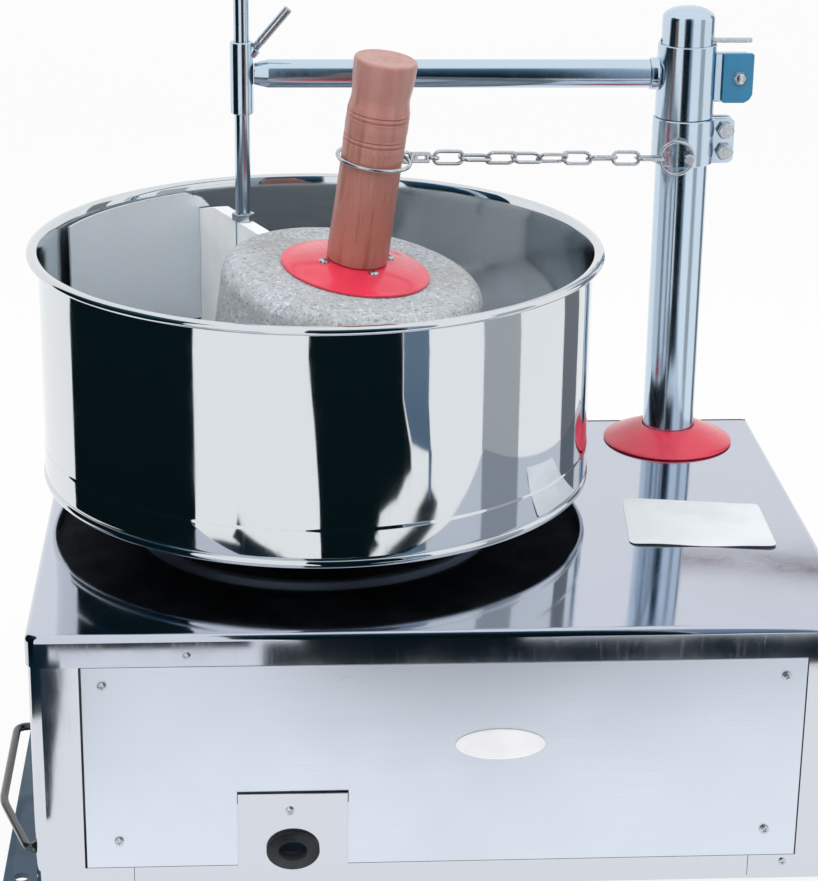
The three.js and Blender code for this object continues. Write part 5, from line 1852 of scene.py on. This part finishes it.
@dataclass
class Scraper(Assembly):
    """The rod in its collar at the arm's end, its clamp screw, and the plates in the drum."""

    nodes: dict[str, Object]
    rod_radius: float = 6.0
    rod_top: float = 600.0
    nylon_top: float = 387.0
    nylon_turn: float = -66.9
    collar_radius: float = 9.0
    collar_z: float = 473.0
    collar_high: float = 56.0
    clamp_z: float = 511.6
    clamp_angle: float = 49.6
    clamp_length: float = 56.2
    clamp_radius: float = 3.5
    thread_end: float = 21.0
    thread_pitch: float = 1.0
    nut_radius: float = 9.0
    nut_high: float = 6.0
    guide_radius: float = 201.5  # its outer face, from the drum's axis
    guide_sheet: float = 1.5
    guide_sweep: float = 43.0
    guide_corner: float = 15.0
    guide_low: float = 286.0
    guide_top: float = 393.5

    @property
    def guide_start(self) -> Vector:
        """Where the guide plate meets the nylon board, from the drum's axis."""
        along = Vector((math.cos(math.radians(self.nylon_turn)), math.sin(math.radians(self.nylon_turn))))
        side = Vector((along.y, -along.x))
        rod_place = Vector((self.at.rod_x - self.at.drum_x, self.at.pillar_y - self.at.drum_y))
        foot = rod_place + side * (self.rod_radius + self.at.fit)
        dot = foot.dot(along)
        middle = self.guide_radius - self.guide_sheet / 2
        return foot + along * (-dot - math.sqrt(dot**2 - foot.length_squared + middle**2))

    @property
    def clamp_place(self) -> Matrix:
        """From the clamp screw's own axis to the rod's."""
        tilt = Matrix.Rotation(math.radians(90 - self.clamp_angle), 4, "Y")
        return Matrix.Translation((0, 0, self.clamp_z)) @ tilt

    def hang(self, bm: BMesh, z: float = 0.0) -> BMesh:
        """Moves a shape onto the rod's axis.

        Args:
            bm: The shape, made about Z.
            z: How far it is lifted.

        Returns:
            The same shape.
        """
        return moved(bm, self.at.rod_x, self.at.pillar_y, z)

    def build(self) -> None:
        """Builds every piece."""
        self.rod_and_collar()
        self.clamp()
        self.plates()

    def rod_and_collar(self) -> None:
        """The scraper's rod and the collar that it slides in."""
        low = self.nylon_top - 60.0
        r, high = self.rod_radius, self.rod_top
        lower = [(0, low), (r - 0.6, low), (r, low + 0.6), (r, 450.0)]
        profile = [*lower, (r, high - 0.8), (r - 0.8, high), (0, high)]
        bm = self.hang(turned(profile, 48))
        self.add("scraper_rod_chromed", bm, "tube", Body.SCRAPER, ["scraper_rod"])
        collar_end = self.collar_z + self.collar_high
        wall = tube_wall(r + self.at.fit, self.collar_radius, self.collar_z, collar_end)
        tube = turned(wall, 64, closed=True)
        boss = [(3.8, 9.6), (4.6, 9.6), (5.2, 10.4), (5.2, 15.2), (4.6, 16.0), (3.8, 16.0)]
        bm = joined(tube, put(turned(boss, 40, closed=True), self.clamp_place))
        self.add("rod_collar_tube", self.hang(bm), "tube", Body.ARM, ["rod_collar"])

    def clamp(self) -> None:
        """The straight bar that tightens the collar, threaded near the rod."""
        r, lean, end = self.clamp_radius, math.radians(self.clamp_angle), self.clamp_length
        start = (self.rod_radius + 2 * self.at.fit + r * math.sin(lean)) / math.cos(lean)
        profile = [(0.0, start), (r - 0.4, start), (r - 0.1, start + 0.4)]
        z = start + 0.4
        while z < self.thread_end:
            profile += [(r, z + 0.25), (r - 0.5, z + 0.6)]
            z += self.thread_pitch
        profile += [(r, z + 1.0), (r, 30.0), (r, end - 1.0), (r - 0.8, end), (0.0, end)]
        bm = self.hang(put(turned(profile, 40), self.clamp_place))
        self.add("clamp_screw_bar", bm, "zinc", Body.CLAMP, ["clamp_screw"], smooth_under=60)

    def plates(self) -> None:
        """The nylon board, the nut on the rod and the curved guide plate."""
        board = copy_of(self.nodes["nylon_scraper"])
        self.add("nylon_board", board, "nylon", Body.SCRAPER, ["nylon_scraper"], bevel=1.2, segments=3)
        bore, low, high = self.rod_radius + self.at.fit, self.at.fit, self.at.fit + self.nut_high
        hole = turned([(0, -1), (bore, -1), (bore, high + 1.7), (0, high + 1.7)], 32)
        solid = turned([(0, low), (self.nut_radius, low), (self.nut_radius, high), (0, high)], 6)
        bm = self.hang(cut_by(solid, hole), self.nylon_top)
        self.add("rod_nut", bm, "zinc", Body.SCRAPER, ["scraper_nut"], bevel=0.4)
        self.guide()

    def guide(self) -> None:
        """The curved plate that follows the drum's wall, with one rounded top corner."""
        outer, corner = self.guide_radius, self.guide_corner
        inner, low, top = outer - self.guide_sheet, self.guide_low, self.guide_top
        start = math.degrees(math.atan2(self.guide_start.y, self.guide_start.x))
        bm = bmesh.new()
        section = [(inner, low), (outer, low), (outer, top), (inner, top)]
        face = bm.faces.new([bm.verts.new((r, 0.0, z)) for r, z in section])
        turn = Matrix.Rotation(math.radians(start), 4, "Z")
        bmesh.ops.transform(bm, matrix=turn, verts=bm.verts[:])
        geom = [face, *face.verts, *face.edges]
        sweep = math.radians(self.guide_sweep)
        bmesh.ops.spin(
            bm, geom=geom, cent=(0, 0, 0), axis=(0, 0, 1), angle=sweep, steps=48, use_duplicate=False
        )
        bm = tidy(bm)
        square = block((-corner * 1.5, -8.0, top - corner), (corner, 8.0, top + 5.0))
        disc = put(turned([(0, -9), (corner, -9), (corner, 9), (0, 9)], 64), FRONT)
        cutter = cut_by(square, moved(disc, corner, 0.0, top - corner))
        beside = Matrix.Rotation(math.radians(start + 90.0), 4, "Z")
        cutter = put(moved(cutter, 0.0, -outer), beside)
        bm = moved(cut_by(bm, cutter), self.at.drum_x, self.at.drum_y)
        self.add(
            "guide_plate_sheet", bm, "guide", Body.SCRAPER, ["guide_plate"], bevel=0.25, smooth_under=25
        )


@dataclass
class ChainRun(Assembly):
    """The split collar on the pillar, the rings, the swivel clip and the chain between them."""

    roller: RollerStone
    links: int = 9
    wire: float = 1.35
    link_half: float = 4.6
    bite: float = 0.4
    collar_top: float = 470.2
    collar_high: float = 36.0
    collar_radius: float = 24.4
    bore: float = 20.8
    stud_radius: float = 2.2
    stud_up: float = 9.0  # above the collar's foot
    bolt_in: float = 9.5  # the bolts, from the collar's ends
    ring_out: float = 4.0  # the pillar's ring, in front of the collar
    ring_up: float = 86.0  # the handle's ring, above the foot of the cap plate
    ring_radius: float = 26.5
    ring_wire: float = 1.5
    end_ring: float = 13.0
    end_wire: float = 1.4
    eye: float = 3.7
    eye_wire: float = 1.3
    clip_length: float = 16.0

    def stand(self, bm: BMesh) -> BMesh:
        """Moves a shape onto the pillar's axis.

        Args:
            bm: The shape, made about Z.

        Returns:
            The same shape.
        """
        return moved(bm, self.at.pillar_x, self.at.pillar_y)

    def build(self) -> None:
        """Builds every piece."""
        self.collar()
        self.rings_and_links()

    def collar(self) -> None:
        """The split clamp with its ears, stud and two bolts."""
        z1, z0, r = self.collar_top, self.collar_top - self.collar_high, self.collar_radius
        gap, thick = 2.0, 5.0
        wall = tube_wall(self.bore, r, z0, z1)
        ring = cut_by(turned(wall, 96, closed=True), block((10, -gap, z0 - 5), (40, gap, z1 + 5)))
        bm = self.stand(ring)
        self.add("clamp_collar_ring", bm, "tube", Body.FRAME, ["chain_collar"], smooth_under=35)
        for word, side in (("front", -1.0), ("back", 1.0)):
            near, far = sorted((side * gap, side * (gap + thick)))
            ear = block((r - 2.2, near, z0), (r + 15, far, z1))
            crossing = [e for e in ear.edges if abs(e.verts[0].co.y - e.verts[1].co.y) > 1]
            round_edges(ear, [e for e in crossing if min(v.co.x for v in e.verts) > r + 14], 5.0, 6)
            bm = self.stand(ear)
            self.add(f"clamp_ear_{word}", bm, "tube", Body.FRAME, bevel=0.6)
        stem = [(0, r - 1.0), (self.stud_radius, r - 1.0), (self.stud_radius, r + 8)]
        stud = [*stem, (4.0, r + 8), (4.0, r + 9.3), (3.3, r + 10), (0, r + 10)]
        bm = moved(self.stand(put(turned(stud, 32), FRONT)), z=z0 + self.stud_up)
        self.add("ring_stud", bm, "zinc", Body.FRAME)
        face, head, shank, high = gap + thick + self.at.fit, 7.0, 2.5, 5.0
        end = face + high
        back = [(shank, face), (head, face), (head, end - 0.6), (head - 0.8, end), (0, end)]
        profile = [*((wide, -along) for wide, along in reversed(back)), *back]
        for word, z in (("upper", z1 - self.bolt_in), ("lower", z0 + self.bolt_in)):
            bm = moved(self.stand(put(turned(profile, 6), FRONT)), r + 7.5, 0.0, z)
            self.add(f"clamp_bolt_hex_{word}", bm, "zinc", Body.FRAME, [f"clamp_bolt_{word}"], bevel=0.35)

    def rings_and_links(self) -> None:
        """The ring on the stud, the ring round the handle, the clip and the links, pulled straight."""
        stud_z = self.collar_top - self.collar_high + self.stud_up
        ring_x = self.at.pillar_x - self.end_ring + self.end_wire + self.stud_radius + self.at.fit
        ring_y = self.at.pillar_y - self.collar_radius - self.ring_out
        end_ring = moved(put(torus(self.end_ring, self.end_wire), FRONT), ring_x, ring_y, stud_z)
        self.add("stud_ring", end_ring, "zinc", Body.FRAME, ["pillar_ring"])
        direction = self.roller.direction()
        height = self.roller.top + self.at.fit + self.ring_up
        ring_centre = self.roller.centre() + direction * height
        end = Vector((ring_x - self.end_ring, ring_y, stud_z))
        pull = end - ring_centre
        pull = (pull - direction * pull.dot(direction)).normalized()
        slack = self.ring_radius - self.ring_wire - self.roller.handle - self.roller.swell - self.at.fit
        ring_centre += pull * slack
        wire_ring = put(torus(self.ring_radius, self.ring_wire), leaning(ring_centre, direction))
        self.add("handle_wire_ring", wire_ring, "zinc", Body.FRAME, ["handle_ring"])
        hold = ring_centre + pull * self.ring_radius
        run = end - hold
        ahead = run.normalized()
        side = UP.cross(ahead).normalized()
        lift = ahead.cross(side)
        frame = Matrix((ahead, side, lift)).transposed().to_4x4()
        inside = self.eye - self.eye_wire
        first_eye = self.ring_wire + self.at.fit - inside
        span = 2 * self.eye + self.clip_length
        self.clip(Matrix.Translation(hold - ahead * first_eye) @ frame, span)
        start = -first_eye + span + inside
        pitch = (run.length + self.end_wire - start + self.bite + 2 * self.at.fit) / self.links
        first = (pitch - self.bite) / 2 - self.at.fit
        twist = math.pi / 2 + math.pi / 2 / (self.links - 1)
        place = Matrix.Translation(hold + ahead * start) @ frame
        for i in range(self.links):
            bm = put(self.link(pitch), Matrix.Rotation(twist * i, 4, "X"))
            bm = put(moved(bm, first + pitch * i), place)
            stands_for = ["chain"] if i == 0 else []
            self.add(f"chain_link_{i + 1}", bm, "zinc", Body.FRAME, stands_for)

    def link(self, pitch: float) -> BMesh:
        """One welded oval link in the XZ plane.

        Args:
            pitch: Distance between neighbouring links.

        Returns:
            The shape.
        """
        straight = (pitch - self.bite) / 2 + self.wire - self.link_half
        half = self.link_half
        path = [Vector((straight + x, 0, z)) for x, z in arc((0, 0), (half, half), -90, 90, 14)]
        path += [Vector((-straight + x, 0, z)) for x, z in arc((0, 0), (half, half), 90, 270, 14)]
        return rod(path, self.wire, 12, closed=True)

    def clip(self, place: Matrix, span: float) -> None:
        """The swivel clip: an eye at each end of a flat forked body.

        Args:
            place: Its place, with the first eye's middle at zero and the chain along X.
            span: Distance between its eyes.
        """
        body = block((self.eye - 0.6, -1.5, -4.0), (span - self.eye + 0.6, 1.5, 4.0))
        fork = block((self.eye + 6.0, -3, -1.3), (self.eye + 13.0, 3, 1.3))
        whole = cut_by(body, fork)
        closed = [e for e in whole.edges if len(e.link_faces) == 2]
        sharp = [e for e in closed if e.calc_face_angle(0) > math.radians(30)]
        round_edges(whole, sharp, 0.7, 3)
        near = put(torus(self.eye, self.eye_wire, 40, 12), FRONT)
        far = moved(torus(self.eye, self.eye_wire, 40, 12), span)
        rivet = turned([(0, -2.1), (1.6, -2.1), (1.9, -1.7), (1.9, 1.7), (1.6, 2.1), (0, 2.1)], 20)
        rivet = moved(put(rivet, FRONT), self.eye + 4.0)
        bm = put(joined(whole, near, far, rivet), place)
        self.add("swivel_clip_forged", bm, "zinc", Body.FRAME, ["swivel_clip"])


@dataclass
class InnerWorks:
    """The drive inside the body: its CAD nodes keep their shape and get their real finishes."""

    nodes: dict[str, Object]
    paint: Palette
    iron: tuple[str, ...] = ("bearing_housing", "driven_pulley", "motor_pulley", "pillar_socket")
    brushed: tuple[str, ...] = (
        "upper_bearing",
        "lower_bearing",
        "main_shaft",
        "motor_shaft",
        "stone_tie_rod",
    )
    rubber: tuple[str, ...] = ("shaft_seal", "drive_belt")

    def build(self) -> None:
        """Gives each node its finish."""
        groups = {"iron": self.iron, "brushed": self.brushed, "rubber": self.rubber}
        finishes = {name: key for key, names in groups.items() for name in names}
        finishes.update(motor_plate="zinc", motor_body="motor")
        for name, key in finishes.items():
            for place in self.nodes[name].material_slots:
                place.material = self.paint[key].material
            log.info("%s keeps its CAD shape", name)


@dataclass
class Studio:
    """A white floor and backdrop, soft lamps, the dark flags that polished steel needs, and the camera."""

    eye: Point = (-0.1278, -1.7318, 0.8891)
    pitch: float = 20.18
    yaw: float = 3.8
    roll: float = 0.78
    lens: float = 2437.0 * 36.0 / 881.0  # a focal length of 2437 pixels in a picture 881 pixels high
    floor_glow: float = 0.9  # share of the floor's brightness that the camera sees whatever the light
    sky_light: float = 0.45  # how strongly the white world lights matt surfaces
    cloth_top: float = 1.5
    cloth_lift: float = 0.002  # cloths that lie on the floor
    cloth_steps: int = 32
    dark: Tones = ((0.0, "071418"), (0.3, "0c1c20"), (0.55, "24455a"), (1.0, "5a7b93"))

    def build(self) -> None:
        """Builds the studio."""
        self.floor()
        self.flags()
        self.lamps()
        self.world()
        self.camera()

    def white(self) -> Material:
        """White paper: white to the camera and in polished metal, and it still takes a shadow."""
        material = bpy.data.materials.new("matt_white_paper")
        material.use_nodes = True
        tree = material.node_tree
        tree.nodes.clear()
        paper = add_node(tree, "ShaderNodeBsdfDiffuse", {"Color": linear("f4f4f4")})
        light = add_node(tree, "ShaderNodeEmission", {"Color": linear("ffffff"), "Strength": 1.0})
        share = math_node(tree, "MULTIPLY", seen_share(tree), self.floor_glow)
        mix = add_node(
            tree, "ShaderNodeMixShader", links={"Fac": share, 1: paper.outputs[0], 2: light.outputs[0]}
        )
        add_node(tree, "ShaderNodeOutputMaterial", links={"Surface": mix.outputs[0]})
        return material

    def floor(self) -> None:
        """The floor with a swept-up back."""
        bm = bmesh.new()
        sweep = [(2.2 + x, z) for x, z in arc((0.0, 0.8), (0.8, 0.8), -90, 0, 16)]
        path = [(-6.0, 0.0), *sweep, (3.0, 4.0)]
        verts = [bm.verts.new((-5.0, y, z)) for y, z in path]
        edges = [bm.edges.new(pair) for pair in zip(verts, verts[1:])]
        made = bmesh.ops.extrude_edge_only(bm, edges=edges)["geom"]
        bmesh.ops.translate(bm, vec=(10.0, 0, 0), verts=[g for g in made if isinstance(g, BMVert)])
        self.staged("floor_sweep", bm, self.white())

    def staged(self, name: str, bm: BMesh, material: Material) -> Object:
        """Adds a studio object.

        Args:
            name: Its name.
            bm: Its shape in metres; it is freed.
            material: Its material.

        Returns:
            The object.
        """
        for face in bm.faces:
            face.smooth = True
        mesh = bpy.data.meshes.new(name)
        bm.to_mesh(mesh)
        bm.free()
        mesh.materials.append(material)
        made = bpy.data.objects.new(name, mesh)
        bpy.context.scene.collection.objects.link(made)
        return made

    def cloth(self, name: str, rows: Sequence[Sequence[Point]], tones: Tones) -> None:
        """A cloth that only polished surfaces see.

        Args:
            name: Its name.
            rows: Rows of equally many points, metres; neighbouring rows are joined.
            tones: Its colours by height, from the floor to the cloths' top.
        """
        material = bpy.data.materials.new(f"{name}_cloth")
        material.use_nodes = True
        tree = material.node_tree
        tree.nodes.clear()
        share = spread(tree, object_axes(tree)["Z"], 0.0, self.cloth_top, 0.0, 1.0)
        ramp = add_node(tree, "ShaderNodeValToRGB", links={"Fac": share})
        ramp_stops(ramp, tones)
        glow = add_node(tree, "ShaderNodeEmission", links={"Color": ramp.outputs["Color"]})
        add_node(tree, "ShaderNodeOutputMaterial", links={"Surface": glow.outputs[0]})
        bm = bmesh.new()
        verts = [[bm.verts.new(p) for p in row] for row in rows]
        for near, far in zip(verts, verts[1:]):
            for i in range(len(near) - 1):
                bm.faces.new((near[i], near[i + 1], far[i + 1], far[i]))
        card = self.staged(name, bm, material)
        card.visible_camera = False
        card.visible_diffuse = False
        card.visible_shadow = False
        card.visible_transmission = False

    def hang(self, name: str, path: Sequence[Flat], rows: Sequence[Point], tones: Tones) -> None:
        """Hangs a cloth along a path, with ends that differ by height.

        Args:
            name: Its name.
            path: The path's corners (x, y), metres.
            rows: Heights, each with the cloth's two ends in corners along the path.
            tones: Its colours by height.
        """
        made = []
        for z, first, last in rows:
            row = []
            for i in range(self.cloth_steps + 1):
                share = first + (last - first) * i / self.cloth_steps
                corner = min(int(share), len(path) - 2)
                x, y = Vector(path[corner]).lerp(Vector(path[corner + 1]), share - corner)
                row.append((x, y, z))
            made.append(row)
        self.cloth(name, made, tones)

    def lay(self, name: str, rows: Sequence[Sequence[Flat]], colour: str) -> None:
        """Lays a cloth of one colour just above the floor.

        Args:
            name: Its name.
            rows: Rows of points (x, y), metres.
            colour: Hex colour.
        """
        lifted = [[(x, y, self.cloth_lift) for x, y in row] for row in rows]
        self.cloth(name, lifted, [(0.0, colour), (1.0, colour)])

    def flags(self) -> None:
        """The dark and grey cloths that the drum, the deck's fold and the corners mirror."""
        self.front_flags()
        self.side_flags()
        self.floor_flags()

    def front_flags(self) -> None:
        """A dark cloth with a ragged right edge near the floor, and a hazy one beside it."""
        haze = [(0.0, "5f7286"), (0.1, "5d7187"), (0.25, "8397ab"), (1.0, "b4c3cf")]
        bend = [(-0.145, -0.612), (0.2, -0.612), (0.3, -0.55), (0.36, -0.47)]
        ragged = [
            (0.0, 0.19, 0.73),
            (0.035, 0.19, 0.74),
            (0.04, 0.185, 0.87),
            (0.054, 0.18, 0.8),
            (0.06, 0.18, 0.84),
            (0.068, 0.177, 0.87),
            (0.07, 0.176, 0.99),
            (0.075, 0.174, 1.27),
            (0.085, 0.17, 1.45),
            (0.095, 0.168, 1.58),
            (0.103, 0.165, 1.8),
            (0.123, 0.15, 1.77),
            (0.171, 0.11, 1.45),
            (0.26, 0.02, 1.41),
            (self.cloth_top, 0.0, 1.41),
        ]
        self.hang("flag_front", bend, ragged, self.dark)
        veil = [
            (0.078, 2.56, 2.66),
            (0.124, 2.54, 2.68),
            (0.13, 1.8, 2.62),
            (0.171, 1.48, 2.5),
            (0.26, 1.44, 2.5),
            (self.cloth_top, 1.44, 2.5),
        ]
        self.hang("flag_haze", bend, veil, haze)

    def side_flags(self) -> None:
        """A dark cloth at the left, and grey ones at the right and behind it."""
        left = [(-0.63, -0.51), (-0.7, -0.1), (-0.7, 0.2)]
        self.hang("flag_left", left, [(0.0, 0.0, 2.0), (1.2, 0.0, 2.0)], self.dark)
        sides = [
            ("flag_right", [(0.74, -0.4), (0.74, -0.12)], "aeb2b6", "c6c8cb"),
            ("flag_rear", [(0.735, 0.318), (0.615, 0.5)], "70757c", "9aa0a6"),
        ]
        for name, line, low, high in sides:
            self.hang(name, line, [(0.0, 0.0, 1.0), (0.8, 0.0, 1.0)], [(0.0, low), (1.0, high)])

    def floor_flags(self) -> None:
        """The strips on the floor that the deck's fold and the left corner mirror, and one far behind."""
        self.lay("flag_low", [[(-0.113, -0.588), (0.5, -0.588)], [(-0.11, -0.66), (0.5, -0.66)]], "0a1c24")
        self.lay("flag_low_left", [[(x, y) for x in (-0.5, -0.12)] for y in (-0.648, -0.7)], "14222c")
        # The left corner's dark stripe is a strip for its flat front and a sector for its rounding
        stripe = [
            [(-0.288, -0.34), (-0.283, -0.345)],
            [(-0.293, -0.376), (-0.284, -0.376)],
            [(-0.302, -0.44), (-0.288, -0.44)],
            [(-0.32, -0.5), (-0.289, -0.5)],
            [(-0.34, -0.56), (-0.291, -0.56)],
            [(-0.36, -0.62), (-0.295, -0.62)],
        ]
        self.lay("flag_stile", stripe, "1b2c38")
        corner_x, corner_y, near, far = -0.275, -0.234, 0.28, 0.45
        sector = []
        for step in range(12):
            turn = math.radians(8.0 + 9.0 * step)
            sector.append(
                [(corner_x - r * math.sin(turn), corner_y - r * math.cos(turn)) for r in (near, far)]
            )
        self.lay("flag_corner", sector, "142531")
        upper = [(0.466, 1.5, 0.919), (0.592, 1.5, 0.932), (0.691, 1.5, 0.953), (0.76, 1.5, 0.965)]
        lower = [(0.466, 1.5, 0.899), (0.592, 1.5, 0.91), (0.691, 1.5, 0.928), (0.76, 1.5, 0.94)]
        self.cloth("flag_back", [upper, lower], [(0.0, "7e6c70"), (1.0, "7e6c70")])

    def lamps(self) -> None:
        """Broad soft lamps above, and a low one in front."""
        rows = [
            ("lamp_top", (0.2, -0.4, 2.4), (0.0, 0.0, 0.2), 2.4, 34.0),
            ("lamp_left", (-2.0, -1.2, 1.6), (0.0, 0.0, 0.3), 1.6, 20.0),
            ("lamp_right", (2.0, -1.4, 1.5), (0.0, 0.0, 0.3), 1.6, 16.0),
            ("lamp_front", (-0.7, -1.5, 2.0), (-0.1, 0.1, 0.35), 1.0, 9.0),
        ]
        for name, place, target, size, power in rows:
            data = bpy.data.lights.new(name, "AREA")
            data.shape = "SQUARE"
            data.size = size
            data.energy = power
            lamp = bpy.data.objects.new(name, data)
            lamp.location = place
            lamp.rotation_mode = "QUATERNION"
            lamp.rotation_quaternion = (Vector(target) - Vector(place)).to_track_quat("-Z", "Y")
            lamp.visible_glossy = False
            bpy.context.scene.collection.objects.link(lamp)

    def world(self) -> None:
        """A plain pale world."""
        world = bpy.data.worlds.new("pale_room")
        world.use_nodes = True
        tree = world.node_tree
        tree.nodes.clear()
        power = spread(tree, seen_share(tree), 0.0, 1.0, self.sky_light, 1.0)
        sky = add_node(tree, "ShaderNodeBackground", {"Color": linear("ffffff")}, {"Strength": power})
        add_node(tree, "ShaderNodeOutputWorld", links={"Surface": sky.outputs[0]})
        bpy.context.scene.world = world

    def camera(self) -> None:
        """The camera at the photograph's place, with its small roll."""
        data = bpy.data.cameras.new("camera")
        data.sensor_width = 36.0
        data.lens = self.lens
        data.clip_start = 0.05
        data.clip_end = 50.0
        eye = bpy.data.objects.new("camera", data)
        tilt, turn, roll = (math.radians(a) for a in (self.pitch, self.yaw, self.roll))
        ahead = Vector((math.sin(turn) * math.cos(tilt), math.cos(turn) * math.cos(tilt), -math.sin(tilt)))
        right = Vector((math.cos(turn), -math.sin(turn), 0.0))
        above = right.cross(ahead)
        across = right * math.cos(roll) + above * math.sin(roll)
        upward = above * math.cos(roll) - right * math.sin(roll)
        facing = Matrix((across, upward, -ahead)).transposed().to_4x4()
        eye.matrix_world = Matrix.Translation(self.eye) @ facing
        bpy.context.scene.collection.objects.link(eye)
        bpy.context.scene.camera = eye


def main() -> None:
    """Builds every sub-assembly and the studio."""
    logging.basicConfig(level=logging.INFO, format="%(name)s: %(message)s")
    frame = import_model()
    nodes = frame["nodes"]
    bpy.context.scene.view_settings.view_transform = "Standard"
    at = Datum()
    paint = {key: Coat(finish.material(), slot) for key, (finish, slot) in FINISHES.items()}
    roller = RollerStone(at, paint)
    assemblies = [
        Studio(),
        Cabinet(at, paint),
        BaseFrame(at, paint, nodes),
        Drum(at, paint),
        roller,
        Pillar(at, paint),
        Scraper(at, paint, nodes),
        ChainRun(at, paint, roller),
        InnerWorks(nodes, paint),
    ]
    for assembly in assemblies:
        log.info("building %s", type(assembly).__name__)
        assembly.build()
    bpy.context.view_layer.update()


if __name__ == "__main__":
    main()
